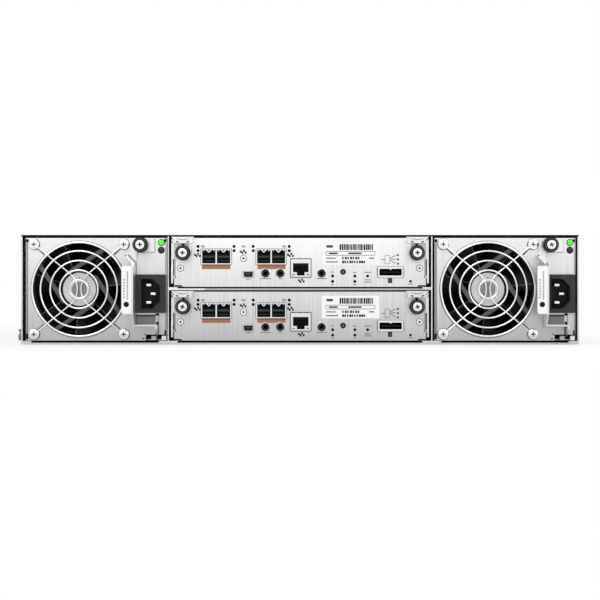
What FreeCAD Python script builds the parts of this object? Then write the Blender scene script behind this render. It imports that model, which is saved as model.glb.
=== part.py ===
import FreeCAD, Part
import os
import re

import Sketcher

# Disk shelf enclosure, 2U high, for a 19 inch rack.
# Frame: +X to the right seen from behind, +Y from the module side to the drive side,
# +Z up. The origin is on the underside of the floor, at the middle of the chassis.

doc = FreeCAD.newDocument("disk_shelf")
sheet = doc.addObject("Spreadsheet::Sheet", "sizes")
aliases = []
nodes = []


# ---------------------------------------------------------------- tools of the drawing

# A cutting piece reaches 1 mm past the faces it cuts.

def fill_sheet(sizes):
    """Write named sizes into the sheet. A number drives, a text is worked out from others."""
    for name, value in sizes.items():
        aliases.append(name)
        cell = f"B{len(aliases)}"
        sheet.set(f"A{len(aliases)}", name.replace("_", " "))
        sheet.set(cell, value if isinstance(value, str) else repr(value))
        sheet.setAlias(cell, name)


def bind(item, place, formula):
    """Tie a property to a formula of names in the sheet."""
    def lookup(word):
        return "sizes." + word.group() if word.group() in aliases else word.group()
    item.setExpression(place, re.sub(r"[a-z_]+", lookup, formula))


def add(kind, name):
    return doc.addObject(kind, name)


def move(item, x="0", y="0", z="0"):
    """Put an item at a named place."""
    for axis, formula in zip("xyz", (x, y, z)):
        bind(item, "Placement.Base." + axis, formula)
    return item


def box(name, x, y, z):
    """A block between a low and a high place on each axis."""
    block = add("Part::Box", name)
    for side, axis, (low, high) in zip(("Length", "Width", "Height"), "xyz", (x, y, z)):
        bind(block, side, f"({high}) - ({low})")
        bind(block, "Placement.Base." + axis, low)
    return block


ALONG = {
    "x": FreeCAD.Rotation(FreeCAD.Vector(0, 1, 0), 90),
    "y": FreeCAD.Rotation(FreeCAD.Vector(1, 0, 0), -90),
    "z": FreeCAD.Rotation(),
}


def rod(name, axis, x, y, z, radius, length):
    """A round bar or hole that starts at a place and runs along +X, +Y or +Z."""
    bar = add("Part::Cylinder", name)
    bar.Placement = FreeCAD.Placement(FreeCAD.Vector(), ALONG[axis])
    bind(bar, "Radius", radius)
    bind(bar, "Height", length)
    return move(bar, x, y, z)


def join(name, *pieces):
    """One solid, or several, from pieces that touch or overlap."""
    fused = add("Part::MultiFuse", name)
    fused.Shapes = list(pieces)
    fused.Refine = True
    return fused


def group(name, *pieces):
    """Separate pieces kept side by side."""
    held = add("Part::Compound", name)
    held.Links = list(pieces)
    return held


def cut(name, base, tool):
    left = add("Part::Cut", name)
    left.Base = base
    left.Tool = tool
    return left


def common(name, base, tool):
    shared = add("Part::Common", name)
    shared.Base = base
    shared.Tool = tool
    return shared


def mirror(name, piece):
    """The same piece on the other side of the middle plane X = 0."""
    other = add("Part::Mirroring", name)
    other.Source = piece
    other.Normal = FreeCAD.Vector(1, 0, 0)
    return other


def turned(name, piece, axis, angle):
    """A copy turned about an axis through the drawing's own origin."""
    copy = group(name, piece)
    copy.Placement = FreeCAD.Placement(FreeCAD.Vector(), FreeCAD.Rotation(axis, angle))
    return copy


PLANES = {"x": "YZ_Plane", "y": "XZ_Plane", "z": "XY_Plane"}


def sketch_on(body, name, axis, at):
    """An empty sketch across an axis of its body, at a named place along it."""
    sketch = body.newObject("Sketcher::SketchObject", name)
    plane = [item for item in body.Origin.OriginFeatures if item.Role == PLANES[axis]][0]
    sketch.AttachmentSupport = [(plane, "")]
    sketch.MapMode = "FlatFace"
    bind(sketch, "AttachmentOffset.Base.z", f"-({at})" if axis == "y" else at)
    return sketch


def outline(body, name, axis, at, points):
    """A sketch of straight runs whose corners are tied to the sheet."""
    sketch = sketch_on(body, name, axis, at)
    count = len(points)
    places = [FreeCAD.Vector(value(x), value(y), 0) for x, y in points]
    for index in range(count):
        run = Part.LineSegment(places[index], places[(index + 1) % count])
        sketch.addGeometry(run)
    for index in range(count):
        meet = Sketcher.Constraint("Coincident", index, 2, (index + 1) % count, 1)
        sketch.addConstraint(meet)
    for index, corner in enumerate(points):
        for kind, formula, place in zip(("DistanceX", "DistanceY"), corner, places[index]):
            tie = sketch.addConstraint(Sketcher.Constraint(kind, -1, 1, index, 1, place))
            bind(sketch, f"Constraints[{tie}]", formula)
    return sketch


def value(formula):
    """The present value of a formula of names in the sheet."""
    words = {name: getattr(sheet, name) for name in aliases if name in formula}
    number = re.sub(r"[a-z_]+", lambda word: repr(float(words[word.group()])), formula)
    return float(FreeCAD.Units.Quantity(number).Value)


def plate(name, axis, low, high, points, rounding=None, corners=None):
    """An outline padded along an axis, with its corners rounded if a radius is given."""
    body = add("PartDesign::Body", name)
    at = high if axis == "y" else low
    sketch = outline(body, name + "_outline", axis, at, points)
    pad = body.newObject("PartDesign::Pad", name + "_pad")
    pad.Profile = sketch
    bind(pad, "Length", f"({high}) - ({low})")
    if rounding:
        round_off(body, pad, name, axis, rounding, [points[i] for i in corners or range(len(points))])
    return body


def round_off(body, pad, name, axis, radius, corners):
    """Round the edges of a pad that run along its axis from the given corners."""
    doc.recompute()
    across = {"x": (1, 2), "y": (0, 2), "z": (0, 1)}[axis]
    wanted = [(value(x), value(y)) for x, y in corners]
    edges = []
    for index, edge in enumerate(pad.Shape.Edges):
        ends = [[vertex.Point[side] for side in across] for vertex in edge.Vertexes]
        for x, y in wanted:
            if all(abs(end[0] - x) + abs(end[1] - y) < 0.001 for end in ends):
                edges.append(f"Edge{index + 1}")
    fillet = body.newObject("PartDesign::Fillet", name + "_rounding")
    fillet.Base = (pad, edges)
    bind(fillet, "Radius", radius)
    body.Tip = fillet


def lathe(name, points):
    """An outline of radius and place along Y, turned about the Y axis."""
    body = add("PartDesign::Body", name)
    sketch = outline(body, name + "_outline", "z", "0", points)
    spun = body.newObject("PartDesign::Revolution", name + "_turned")
    spun.Profile = sketch
    spun.ReferenceAxis = (sketch, ["V_Axis"])
    spun.Angle = 360
    return body


def place(label, master, x="0", y="0", z="0"):
    """A finished sub-part: a copy of its drawing at its place in the shelf."""
    node = add("Part::Compound", label)
    node.Label = label
    node.Links = [master]
    nodes.append(node)
    return move(node, x, y, z)


# ---------------------------------------------------------------- sizes

# Chassis: a folded steel tray with a cover, for the 19 inch rack.
CHASSIS = {
    "chassis_wide": 444.4,
    "chassis_high": 87.0,
    "chassis_deep": 560.0,
    "steel": 1.2,
    "seat_gap": 0.3,
    "pin_fit": 0.05,
    "half_wide": "=chassis_wide / 2",
    "inner_half": "=half_wide - steel",
    "rear_face": "=-chassis_deep / 2",
    "front_face": "=chassis_deep / 2",
    "cover_under": "=chassis_high - steel",
    "lip_high": 12.0,
    "lip_gap": 0.3,
    "lip_out": "=inner_half - lip_gap",
    "lip_in": "=lip_out - steel",
    "bend_round": 1.0,
}

# Screws that hold the cover's side lips.
COVER_SCREWS = {
    "cover_screw_radius": 1.5,
    "cover_screw_head": 3.0,
    "cover_screw_head_high": 0.8,
    "cover_screw_up": "=cover_under - lip_high / 2",
    "cover_screw_inset": 30.0,
}

# Rack ears at the drive side, and the caps on them.
RACK_EARS = {
    "ear_out": 19.1,
    "rack_wide": "=chassis_wide + 2 * ear_out",
    "ear_steel": 1.6,
    "ear_leg": 60.0,
    "ear_trim": 0.4,
    "rack_hole_out": 10.35,
    "rack_hole_wide": "=chassis_wide + 2 * rack_hole_out",
    "rack_hole_high": 76.2,
    "rack_slot_radius": 3.4,
    "rack_slot_long": 10.6,
    "cap_half_high": 27.0,
    "cap_thick": 9.0,
    "cap_round": 3.0,
    "cap_inset": 0.6,
}

# Rail pin on the left wall.
RAIL_PIN = {
    "rail_pin_radius": 4.6,
    "rail_pin_neck": 3.2,
    "rail_pin_out": 4.3,
    "rail_pin_cap": 1.3,
    "rail_pin_washer": 4.2,
    "rail_pin_up": 7.2,
    "rail_pin_in": 14.0,
}

# Drive side: a cage of four columns and three rows, and the board behind it.
DRIVE_SIDE = {
    "cage_steel": 1.0,
    "board_thick": 2.4,
    "midplane_edge": 2.0,
    "midplane_vent_half": 44.0,
    "midplane_vent_up": 17.0,
    "midplane_vent_high": 7.2,
    "drive_plug_half": 22.0,
    "drive_plug_deep": 9.0,
    "drive_plug_up": 6.9,
    "drive_plug_high": 6.9,
    "disk_wide": 101.6,
    "disk_high": 26.1,
    "disk_long": 147.0,
    "disk_in": 20.0,
    "disk_behind": 18.0,
    "cage_deep": "=disk_in + disk_long + disk_behind",
    "board_front": "=front_face - cage_deep",
    "board_rear": "=board_front - board_thick",
    "disk_aside": 6.4,
    "disk_over": 1.9,
    "columns": "=floor(2 * inner_half / (disk_wide + disk_aside))",
    "rows": "=floor((cover_under - steel) / (disk_high + disk_over))",
    "column_pitch": "=(2 * inner_half + cage_steel) / columns",
    "column_clear": "=column_pitch - cage_steel",
    "row_pitch": "=(cover_under - steel + cage_steel) / rows",
    "row_clear": "=row_pitch - cage_steel",
    "cover_screw_pitch": "=(board_rear - rear_face - 2 * cover_screw_inset) / 2",
}

# Bays for the modules: two walls and a shelf.
MODULE_BAYS = {
    "divider_at": 105.0,
    "divider_steel": 1.0,
    "divider_out": "=divider_at + divider_steel / 2",
    "divider_in": "=divider_at - divider_steel / 2",
    "runner_wide": 7.0,
    "module_lift": 2.9,
    "module_top_gap": 1.2,
    "plug_deep": 27.3,
    "module_deep": "=board_rear - rear_face - plug_deep - seat_gap",
    "module_sheet": 1.0,
    "runner_top": "=module_lift - seat_gap",
    "module_top": "=cover_under - module_top_gap",
    "module_span": "=module_top - module_lift",
}

# Power supply module. Its places are measured from the middle of its fan.
POWER_SUPPLY = {
    "psu_gap_left": 0.8,
    "psu_gap_right": 1.7,
    "psu_gap_wall": 1.8,
    "psu_vent_web": 2.8,
    "psu_vent_low": 36.8,
    "psu_vent_over": 8.2,
    "psu_wide": "=inner_half - divider_out - psu_gap_right - psu_gap_wall",
    "psu_high": "=module_span",
    "latch_column": 33.0,
    "fan_clear": 1.35,
    "fan_size": "=min(psu_wide - latch_column; psu_high - 2 * fan_clear)",
    "fan_margin": 3.0,
    "psu_fan_side": "=fan_size / 2 + fan_margin",
    "psu_inlet_side": "=psu_wide - psu_fan_side",
    "fan_up": "=psu_high / 2",
    "psu_left_at": "=-(divider_out + psu_gap_left + psu_inlet_side)",
    "psu_right_at": "=divider_out + psu_gap_right + psu_fan_side",
}

# Fan of the power supply.
FAN = {
    "fan_deep": 25.0,
    "fan_wall": 1.4,
    "fan_bore": "=fan_size / 2 - fan_wall",
    "fan_hole_in": 3.75,
    "fan_hole_at": "=fan_size / 2 - fan_hole_in",
    "fan_screw_radius": 2.0,
    "fan_screw_head": 4.0,
    "fan_hub": 14.8,
    "fan_hub_front": 0.2,
    "fan_strut": 3.2,
    "fan_boss": 4.0,
    "fan_shaft": 1.5,
    "fan_shaft_in": 0.6,
    "fan_bearing_in": 1.0,
    "strut_wide": 3.3,
    "strut_root": 0.55,
    "strut_gusset": 5.0,
    "strut_front": 0.4,
    "strut_turn": 33.8,
    "strut_inner": "=fan_hub - strut_root",
    "strut_outer": "=strut_inner + strut_wide",
    "strut_long": "=sqrt((fan_bore + fan_wall / 2) ^ 2 - fan_hub ^ 2)",
    "rotor_gap": 0.8,
    "rotor_rear": "=fan_strut + rotor_gap",
    "rotor_hub": 15.4,
    "rotor_wall": 1.6,
    "rotor_web": 3.0,
    "rotor_front": "=fan_deep - 1.2",
    "blade_gap": 1.1,
    "blade_tip": "=fan_bore - blade_gap",
    "blade_swing": 7.4,
    "blade_thick": 1.4,
    "blade_inset": 0.8,
    "blade_end": "=sqrt(blade_tip ^ 2 - (blade_swing + blade_thick) ^ 2)",
    "blade_count": 7,
    "guard_wire": 0.85,
    "guard_weld": 0.1,
    "guard_ring_inner": 7.4,
    "guard_ring_outer": "=fan_bore - 9 * guard_wire",
    "guard_ring_step": "=(guard_ring_outer - guard_ring_inner) / 3",
    "guard_lip": "=fan_bore - guard_wire",
    "guard_bend": 16.3,
    "guard_bend_at": 17.8,
    "guard_reach": "=sqrt((fan_hole_at - guard_bend_at) ^ 2 + fan_hole_at ^ 2)",
    "guard_turn": "=atan2(fan_hole_at; guard_bend_at - fan_hole_at) - acos(guard_bend / guard_reach)",
    "guard_lean_x": "=cos(guard_turn)",
    "guard_lean_z": "=sin(guard_turn)",
    "guard_eye": 3.6,
    "guard_head_high": 1.8,
    "guard_screw_long": 10.0,
}

# Mains inlet of the power supply.
MAINS_INLET = {
    "inlet_edge": 0.5,
    "inlet_wide": 23.6,
    "inlet_low": 22.0,
    "inlet_high": 30.6,
    "inlet_out": 4.0,
    "inlet_deep": 22.0,
    "inlet_right": "=psu_inlet_side - inlet_edge",
    "inlet_left": "=inlet_right - inlet_wide",
    "inlet_inside": "=psu_inlet_side - module_sheet - seat_gap",
    "socket_wide": 15.6,
    "socket_high": 24.0,
    "socket_deep": 15.5,
    "socket_corner": 6.0,
    "socket_mid": "=(inlet_left + inlet_right) / 2",
    "socket_up": "=inlet_low + inlet_high / 2",
    "prong_wide": 4.0,
    "prong_thick": 2.0,
    "prong_back": 5.0,
    "prong_aside": 7.0,
    "prong_left": 2.0,
    "prong_right": 1.6,
}

# Thumbscrews of all modules.
THUMBSCREWS = {
    "thumb_ring": 6.0,
    "thumb_head": 3.5,
    "thumb_head_out": 0.9,
    "thumb_bevel": 0.8,
    "thumb_slope": 0.7,
    "thumb_out": 10.0,
    "thumb_shank": 2.0,
    "thumb_tip": 2.4,
    "thumb_hole": 2.9,
}

# Latch of the power supply: one bent sheet on a pin near the bottom.
PSU_LATCH = {
    "latch_sheet": 1.3,
    "latch_face": "=-seat_gap",
    "latch_front": "=latch_face - latch_sheet",
    "pivot_radius": 2.0,
    "pivot_in": 4.4,
    "pivot_up": 6.6,
    "pin_end": 1.0,
    "leg_nose": 2.5,
    "leg_chin": 1.0,
    "leg_round": 3.0,
    "leg_foot": 1.6,
    "leg_heel": 4.0,
    "leg_slant": 0.2,
    "leg_slot_over": 3.0,
    "psu_thumb_in": 20.3,
    "psu_thumb_at": "=psu_inlet_side - psu_thumb_in",
    "psu_thumb_down": 5.6,
    "psu_thumb_up": "=psu_high - psu_thumb_down",
    "lever_in": 25.6,
    "lever_left": "=psu_inlet_side - lever_in",
    "lever_right": "=lever_left + latch_sheet",
    "lever_out": 21.5,
    "lever_low": 12.0,
    "lever_down": 21.7,
    "lever_top": "=psu_high - lever_down",
    "lever_step": 12.0,
    "lever_over": 2.0,
    "leg_in": 7.9,
    "leg_left": "=psu_inlet_side - leg_in",
    "leg_right": "=leg_left + latch_sheet",
    "grip_back": 0.2,
    "grip_wide": 9.2,
    "grip_left": "=lever_right - grip_wide",
    "grip_low": 21.2,
    "grip_under": 1.0,
    "grip_top": "=lever_top - grip_under",
    "grip_round": 2.0,
    "tab_over": 4.8,
    "tab_wide": 19.6,
    "tab_rise": 10.7,
    "tab_neck": 0.8,
    "tab_neck_rise": 5.9,
    "tab_root_rise": 2.5,
    "tab_left": "=lever_right - tab_over",
    "tab_right": "=tab_left + tab_wide",
    "tab_low": "=lever_top + tab_rise",
    "tab_side": "=lever_right + tab_neck",
    "tab_corner": "=lever_top + tab_neck_rise",
    "tab_root": "=lever_top + tab_root_rise",
    "tab_top_gap": 0.4,
    "fold_over": 7.9,
    "fold_rise": 7.4,
    "fold_left": "=lever_right - fold_over",
    "fold_up": "=lever_top + fold_rise",
    "fold_wide": 1.4,
    "fold_out": 13.0,
    "notch_wide": 16.4,
    "notch_left": "=psu_inlet_side - notch_wide",
    "notch_high": 4.2,
    "notch_deep": 9.0,
}

# Lamps of the power supply.
LAMPS = {
    "lamp_radius": 2.5,
    "lamp_in": 4.2,
    "lamp_down": 3.6,
    "lamp_step": 6.1,
    "lamp_out": 0.6,
    "lamp_long": 8.0,
    "lamp_bar_half": 3.0,
    "lamp_bar_in": 6.0,
    "lamp_bar_over": 2.4,
    "lamp_post": 2.0,
    "lamp_post_deep": 4.0,
}

# Controller module. Its places are measured from the middle of its face, at its underside.
CONTROLLER = {
    "shelf_steel": 1.3,
    "between_controllers": 3.9,
    "controller_side": 4.2,
    "controller_vent_web": 3.8,
    "controller_vent_low": 19.4,
    "controller_vent_over": 5.8,
    "controller_half": "=divider_in - controller_side",
    "controller_high": "=(module_span - between_controllers) / 2",
    "controller_pitch": "=controller_high + between_controllers",
    "shelf_low": "=module_lift + controller_high + (between_controllers - shelf_steel) / 2",
    "shelf_top": "=shelf_low + shelf_steel",
    "upper_runner_top": "=module_lift + controller_pitch - seat_gap",
}

# Latches of the controllers.
CONTROLLER_LATCH = {
    "arm_sheet": 1.4,
    "arm_gap": 0.7,
    "arm_in": "=controller_half + arm_gap",
    "arm_out": "=arm_in + arm_sheet",
    "arm_pivot_in": 2.6,
    "arm_pivot_up": 7.7,
    "arm_pin_root": 0.5,
    "arm_low": 2.6,
    "arm_down": 1.0,
    "arm_top": "=controller_high - arm_down",
    "arm_step_up": 13.0,
    "arm_bend": 2.0,
    "arm_front": 2.4,
    "arm_chin": 3.0,
    "arm_heel": 3.4,
    "arm_heel_top": 4.0,
    "arm_web": 0.4,
    "plate_wide": 12.7,
    "plate_in": "=controller_half - plate_wide",
    "plate_low": 22.0,
    "plate_down": 2.9,
    "plate_top": "=controller_high - plate_down",
    "finger_root": 3.75,
    "finger_in": 7.5,
    "finger_at": "=controller_half - finger_in",
    "finger_half": 9.2,
    "finger_out": 10.0,
    "finger_under": 1.5,
    "finger_over": 0.4,
    "finger_neck": 1.6,
    "finger_corner": 2.0,
    "finger_bevel": 1.6,
    "finger_rise": 3.4,
    "finger_lip": 1.7,
    "thumb_in": 7.4,
    "thumb_at": "=controller_half - thumb_in",
    "thumb_up": 26.9,
}

# Ports of the controllers.
PORTS = {
    "port_fit": 0.3,
    "port_wall": 0.8,
    "cage_left": -66.7,
    "cage_right": -22.95,
    "cage_half": 12.1,
    "cage_hole_half": 4.95,
    "cage_hole_at": 5.85,
    "cage_low": 17.9,
    "cage_top": 30.1,
    "cage_out": 0.8,
    "cage_long": 46.0,
    "cage_hole_deep": 30.0,
    "jack_at": 0.6,
    "jack_half": 8.2,
    "jack_low": 7.6,
    "jack_top": 22.4,
    "jack_hole_half": 6.2,
    "jack_hole_low": 10.2,
    "jack_hole_top": 18.8,
    "jack_deep": 16.0,
    "jack_hole_deep": 12.0,
    "jack_ledge": 1.4,
    "jack_key_down": 1.2,
    "jack_key_top": 1.0,
    "usb_at": -41.15,
    "usb_half": 4.1,
    "usb_low": 7.7,
    "usb_high": 4.4,
    "usb_wall": 0.5,
    "usb_deep": 9.0,
    "usb_hole_deep": 6.0,
    "audio_up": 10.8,
    "audio_radius": 3.2,
    "audio_bore": 1.75,
    "audio_long": 12.0,
    "audio_bore_long": 9.0,
    "audio_one": -27.5,
    "audio_two": -15.7,
    "audio_three": 17.2,
    "sas_at": 72.1,
    "sas_half": 10.0,
    "sas_low": 7.2,
    "sas_high": 8.9,
    "sas_hole_half": 8.9,
    "sas_hole_high": 5.4,
    "sas_deep": 22.0,
    "sas_back": 4.0,
    "sas_round": 1.2,
    "button_at": 34.3,
    "button_up": 11.9,
    "button_radius": 2.3,
    "button_fit": 0.1,
    "button_in": 0.2,
    "button_travel": 0.8,
    "button_face": 4.0,
    "button_flange": 0.6,
    "button_flange_long": 1.4,
    "button_stem": 1.0,
    "button_long": 8.0,
    "switch_half": 3.0,
    "switch_over": 3.0,
    "switch_end": 10.0,
}

# Boards inside the modules.
BOARDS = {
    "board_up": 5.0,
    "module_board": 1.6,
    "board_top": "=board_up + module_board",
    "psu_board_edge": 5.0,
    "controller_board_edge": 4.0,
    "board_end": 4.0,
    "psu_board_in": 30.0,
    "controller_board_in": 3.0,
    "foot_radius": 3.0,
    "foot_root": 0.5,
    "foot_long": "=board_up - module_sheet + foot_root",
    "foot_inset": 5.0,
    "psu_foot_in": 36.0,
    "controller_foot_in": 50.0,
    "foot_end": 12.0,
    "plug_wide": 60.0,
    "plug_high": 10.0,
    "plug_root": 14.0,
    "plug_gap": 1.0,
    "coil_half": 20.0,
    "coil_in": 150.0,
    "coil_long": 46.0,
    "coil_high": 42.0,
    "sink_at": -34.0,
    "sink_thick": 6.0,
    "sink_in": 90.0,
    "sink_long": 160.0,
    "sink_high": 50.0,
    "can_at": 24.0,
    "can_one": 100.0,
    "can_two": 240.0,
    "can_radius": 15.0,
    "can_high": 45.0,
    "cooler_half": 30.0,
    "cooler_in": 150.0,
    "cooler_long": 60.0,
    "cooler_high": 22.0,
    "memory_at": 50.0,
    "memory_thick": 4.0,
    "memory_pitch": 12.0,
    "memory_in": 120.0,
    "memory_long": 130.0,
    "memory_high": 26.0,
    "seat_half": 6.0,
    "seat_in": 14.0,
    "seat_long": 26.0,
}

# Disk carriers, levers and blanks.
DRIVES = {
    "carrier_gap": 0.6,
    "carrier_half": "=column_clear / 2 - carrier_gap",
    "carrier_high": "=row_clear - 2 * seat_gap",
    "bezel_deep": 18.0,
    "rail_thick": "=carrier_half - disk_wide / 2",
    "rail_high": 12.0,
    "rail_up": 2.0,
    "disk_up": 0.5,
    "disk_step": 6.0,
    "bezel_vent": 10.0,
    "bezel_vent_pitch": 14.0,
    "bezel_vent_half": 5.0,
    "lever_pocket": 9.0,
    "pocket_gap": 0.5,
    "pocket_end": 12.0,
    "lever_thick": 7.0,
    "lever_end": 13.0,
    "lever_taper": 40.0,
    "lever_finger": 12.0,
    "lever_finger_in": 2.4,
    "lever_finger_end": 3.0,
    "lever_slot_in": 16.0,
    "lever_slot_end": 34.0,
    "lever_slot_half": 3.4,
    "lever_half_high": 8.0,
    "lever_pin": 1.5,
    "lever_pin_at": 5.0,
    "lever_front": 0.4,
    "lever_pin_in": "=(lever_thick + lever_front) / 2",
    "lever_skin": 0.1,
    "lever_round": "=(lever_thick - lever_front) / 2 - lever_skin",
    "blank_deep": 40.0,
    "blank_wall": 2.0,
    "blank_face": 3.0,
    "louvre_inset": 12.0,
    "louvre_low": 4.0,
    "louvre_high": 2.6,
    "louvre_pitch": 5.2,
}

for table in (
    CHASSIS, COVER_SCREWS, RACK_EARS, RAIL_PIN, DRIVE_SIDE, MODULE_BAYS, POWER_SUPPLY, FAN, MAINS_INLET,
    THUMBSCREWS, PSU_LATCH, LAMPS, CONTROLLER, CONTROLLER_LATCH, PORTS, BOARDS, DRIVES,
):
    fill_sheet(table)
doc.recompute()


# ---------------------------------------------------------------- chassis

def chassis_tray():
    """The folded tray: a floor with two walls, guide runners and the rail pin."""
    shell = plate("tray_shell", "y", "rear_face", "front_face", [
        ("-half_wide", "0"),
        ("half_wide", "0"),
        ("half_wide", "cover_under"),
        ("inner_half", "cover_under"),
        ("inner_half", "steel"),
        ("-inner_half", "steel"),
        ("-inner_half", "cover_under"),
        ("-half_wide", "cover_under"),
    ], "bend_round", (0, 1))
    bay = ("rear_face", "board_rear")
    raised = ("steel", "runner_top")
    runner_left = box("tray_runner_left", ("-inner_half", "-inner_half + runner_wide"), bay, raised)
    runner_right = box("tray_runner_right", ("inner_half - runner_wide", "inner_half"), bay, raised)
    folded = join("tray_folded", shell, runner_left, runner_right)
    holes = cover_screw_bores("tray_hole", "-half_wide - 1", "chassis_wide + 2")
    place("chassis_tray", join("tray", cut("tray_pierced", folded, holes), *rail_pin()))


def rail_pin():
    """The shoulder pin pressed into the left wall, which locates the shelf on its rail."""
    out = "-half_wide - rail_pin_out"
    reach = ("rear_face + rail_pin_in", "rail_pin_up")
    return [
        rod("pin_cap", "x", out, *reach, "rail_pin_radius", "rail_pin_cap"),
        rod("pin_neck", "x", out, *reach, "rail_pin_neck", "rail_pin_out + steel / 2"),
        rod("pin_washer", "x", "-half_wide - rail_pin_cap", *reach, "rail_pin_washer", "rail_pin_cap"),
    ]


def top_cover():
    """The cover: a flat sheet whose rear part has lips that drop inside the tray's walls."""
    folded = plate("cover_folded", "y", "rear_face", "board_rear", [
        ("-half_wide", "cover_under"),
        ("-lip_out", "cover_under"),
        ("-lip_out", "cover_under - lip_high"),
        ("-lip_in", "cover_under - lip_high"),
        ("-lip_in", "cover_under"),
        ("lip_in", "cover_under"),
        ("lip_in", "cover_under - lip_high"),
        ("lip_out", "cover_under - lip_high"),
        ("lip_out", "cover_under"),
        ("half_wide", "cover_under"),
        ("half_wide", "chassis_high"),
        ("-half_wide", "chassis_high"),
    ])
    flat = box(
        "cover_flat", ("-half_wide", "half_wide"), ("board_rear", "front_face"),
        ("cover_under", "chassis_high"),
    )
    holes = cover_screw_bores("cover_hole", "-half_wide", "chassis_wide")
    place("top_cover", cut("cover", join("cover_sheet", folded, flat), holes))


def cover_screw_bores(name, start, length):
    """The holes of the cover's screws, right across the shelf."""
    return group(name + "s", *[rod(
        f"{name}_{index}", "x", start, f"rear_face + cover_screw_inset + {index} * cover_screw_pitch",
        "cover_screw_up", "cover_screw_radius + pin_fit", length,
    ) for index in range(3)])


def cover_screws():
    """Six low-headed screws through the walls into the lips of the cover."""
    screw = join(
        "cover_screw",
        rod("cover_screw_cap", "x", "half_wide", "0", "0", "cover_screw_head", "cover_screw_head_high"),
        rod("cover_screw_shank", "x", "lip_in", "0", "0", "cover_screw_radius", "half_wide - lip_in"),
    )
    right = [move(
        group(f"cover_screw_{index}", screw),
        "0", f"rear_face + cover_screw_inset + {index} * cover_screw_pitch", "cover_screw_up",
    ) for index in range(3)]
    row = group("cover_screws_right", *right)
    place("cover_screws", group("cover_screw_rows", row, mirror("cover_screws_left", row)))


def module_bay_dividers():
    """Two walls and a shelf that part the power supplies from the two controllers."""
    bay = ("rear_face", "board_rear")
    pieces = []
    for name, sign in (("left", "-"), ("right", "")):
        near, far = f"{sign}divider_in", f"{sign}divider_out"
        runner_in, runner_out = f"{sign}(divider_in - runner_wide)", f"{sign}(divider_out + runner_wide)"
        wall = sorted((near, far), key=value)
        foot = sorted((runner_in, runner_out), key=value)
        runner = sorted((runner_in, near), key=value)
        pieces.append(box(f"divider_{name}", wall, bay, ("steel", "cover_under")))
        pieces.append(box(f"divider_foot_{name}", foot, bay, ("steel", "runner_top")))
        pieces.append(box(f"shelf_runner_{name}", runner, bay, ("shelf_top", "upper_runner_top")))
    shelf = box("shelf_sheet", ("-divider_in", "divider_in"), bay, ("shelf_low", "shelf_top"))
    place("module_bay_dividers", join("dividers", *pieces, shelf))


def drive_cage():
    """The welded cage of the drives: upright walls and shelves that cross."""
    deep = ("board_front", "front_face")
    uprights = [box(
        f"cage_wall_{index}",
        (f"-inner_half + {index} * column_pitch - cage_steel", f"-inner_half + {index} * column_pitch"),
        deep, ("steel", "cover_under"),
    ) for index in range(1, int(value("columns")))]
    shelves = [box(
        f"cage_shelf_{index}", ("-inner_half", "inner_half"), deep,
        (f"steel + {index} * row_pitch - cage_steel", f"steel + {index} * row_pitch"),
    ) for index in range(1, int(value("rows")))]
    place("drive_cage", join("cage", *uprights, *shelves))


def bays():
    """Each bay's number with its column and its row from the top, column by column."""
    columns, rows = int(value("columns")), int(value("rows"))
    return [(column * rows + row + 1, column, row) for column in range(columns) for row in range(rows)]


def bay_middle(column):
    return f"(-inner_half + ({column} + 0.5) * column_pitch - cage_steel / 2)"


def bay_floor(row):
    return f"(steel + (rows - 1 - {row}) * row_pitch)"


def midplane_board():
    """The board across the shelf that the drives and the modules plug into."""
    board = box(
        "midplane_sheet", ("-inner_half + midplane_edge", "inner_half - midplane_edge"),
        ("board_rear", "board_front"), ("steel + seat_gap", "cover_under - seat_gap"),
    )
    vents = []
    plugs = []
    for bay, column, row in bays():
        middle = bay_middle(column)
        low = bay_floor(row)
        vents.append(box(
            f"midplane_vent_{bay}", (f"{middle} - midplane_vent_half", f"{middle} + midplane_vent_half"),
            ("board_rear - 1", "board_front + 1"),
            (f"{low} + midplane_vent_up", f"{low} + midplane_vent_up + midplane_vent_high"),
        ))
        plugs.append(box(
            f"midplane_plug_{bay}", (f"{middle} - drive_plug_half", f"{middle} + drive_plug_half"),
            ("board_front", "board_front + drive_plug_deep"),
            (f"{low} + drive_plug_up", f"{low} + drive_plug_up + drive_plug_high"),
        ))
    pierced = cut("midplane_cut", board, group("midplane_vents", *vents))
    place("midplane_board", join("midplane", pierced, *plugs))


def rack_ears():
    """Two angle brackets with slots on the pitch of the rack's holes."""
    ear = plate("ear_angle", "z", "ear_trim", "chassis_high - ear_trim", [
        ("half_wide", "front_face - ear_leg"),
        ("half_wide + ear_steel", "front_face - ear_leg"),
        ("half_wide + ear_steel", "front_face - ear_steel"),
        ("rack_wide / 2", "front_face - ear_steel"),
        ("rack_wide / 2", "front_face"),
        ("half_wide", "front_face"),
    ], "bend_round", (2,))
    slots = []
    for name, sign in (("low", "-"), ("high", "+")):
        up = f"chassis_high / 2 {sign} rack_hole_high / 2"
        reach = "(rack_slot_long / 2 - rack_slot_radius)"
        deep = "front_face - ear_steel - 1"
        slots.append(join(
            "ear_slot_" + name,
            box("ear_slot_mid_" + name, (f"rack_hole_wide / 2 - {reach}", f"rack_hole_wide / 2 + {reach}"),
                (deep, "front_face + 1"), (f"{up} - rack_slot_radius", f"{up} + rack_slot_radius")),
            rod("ear_slot_in_" + name, "y", f"rack_hole_wide / 2 - {reach}", deep, up,
                "rack_slot_radius", "ear_steel + 2"),
            rod("ear_slot_out_" + name, "y", f"rack_hole_wide / 2 + {reach}", deep, up,
                "rack_slot_radius", "ear_steel + 2"),
        ))
    right = cut("ear_right", ear, group("ear_slots", *slots))
    place("rack_ears", group("ears", right, mirror("ear_left", right)))


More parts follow.
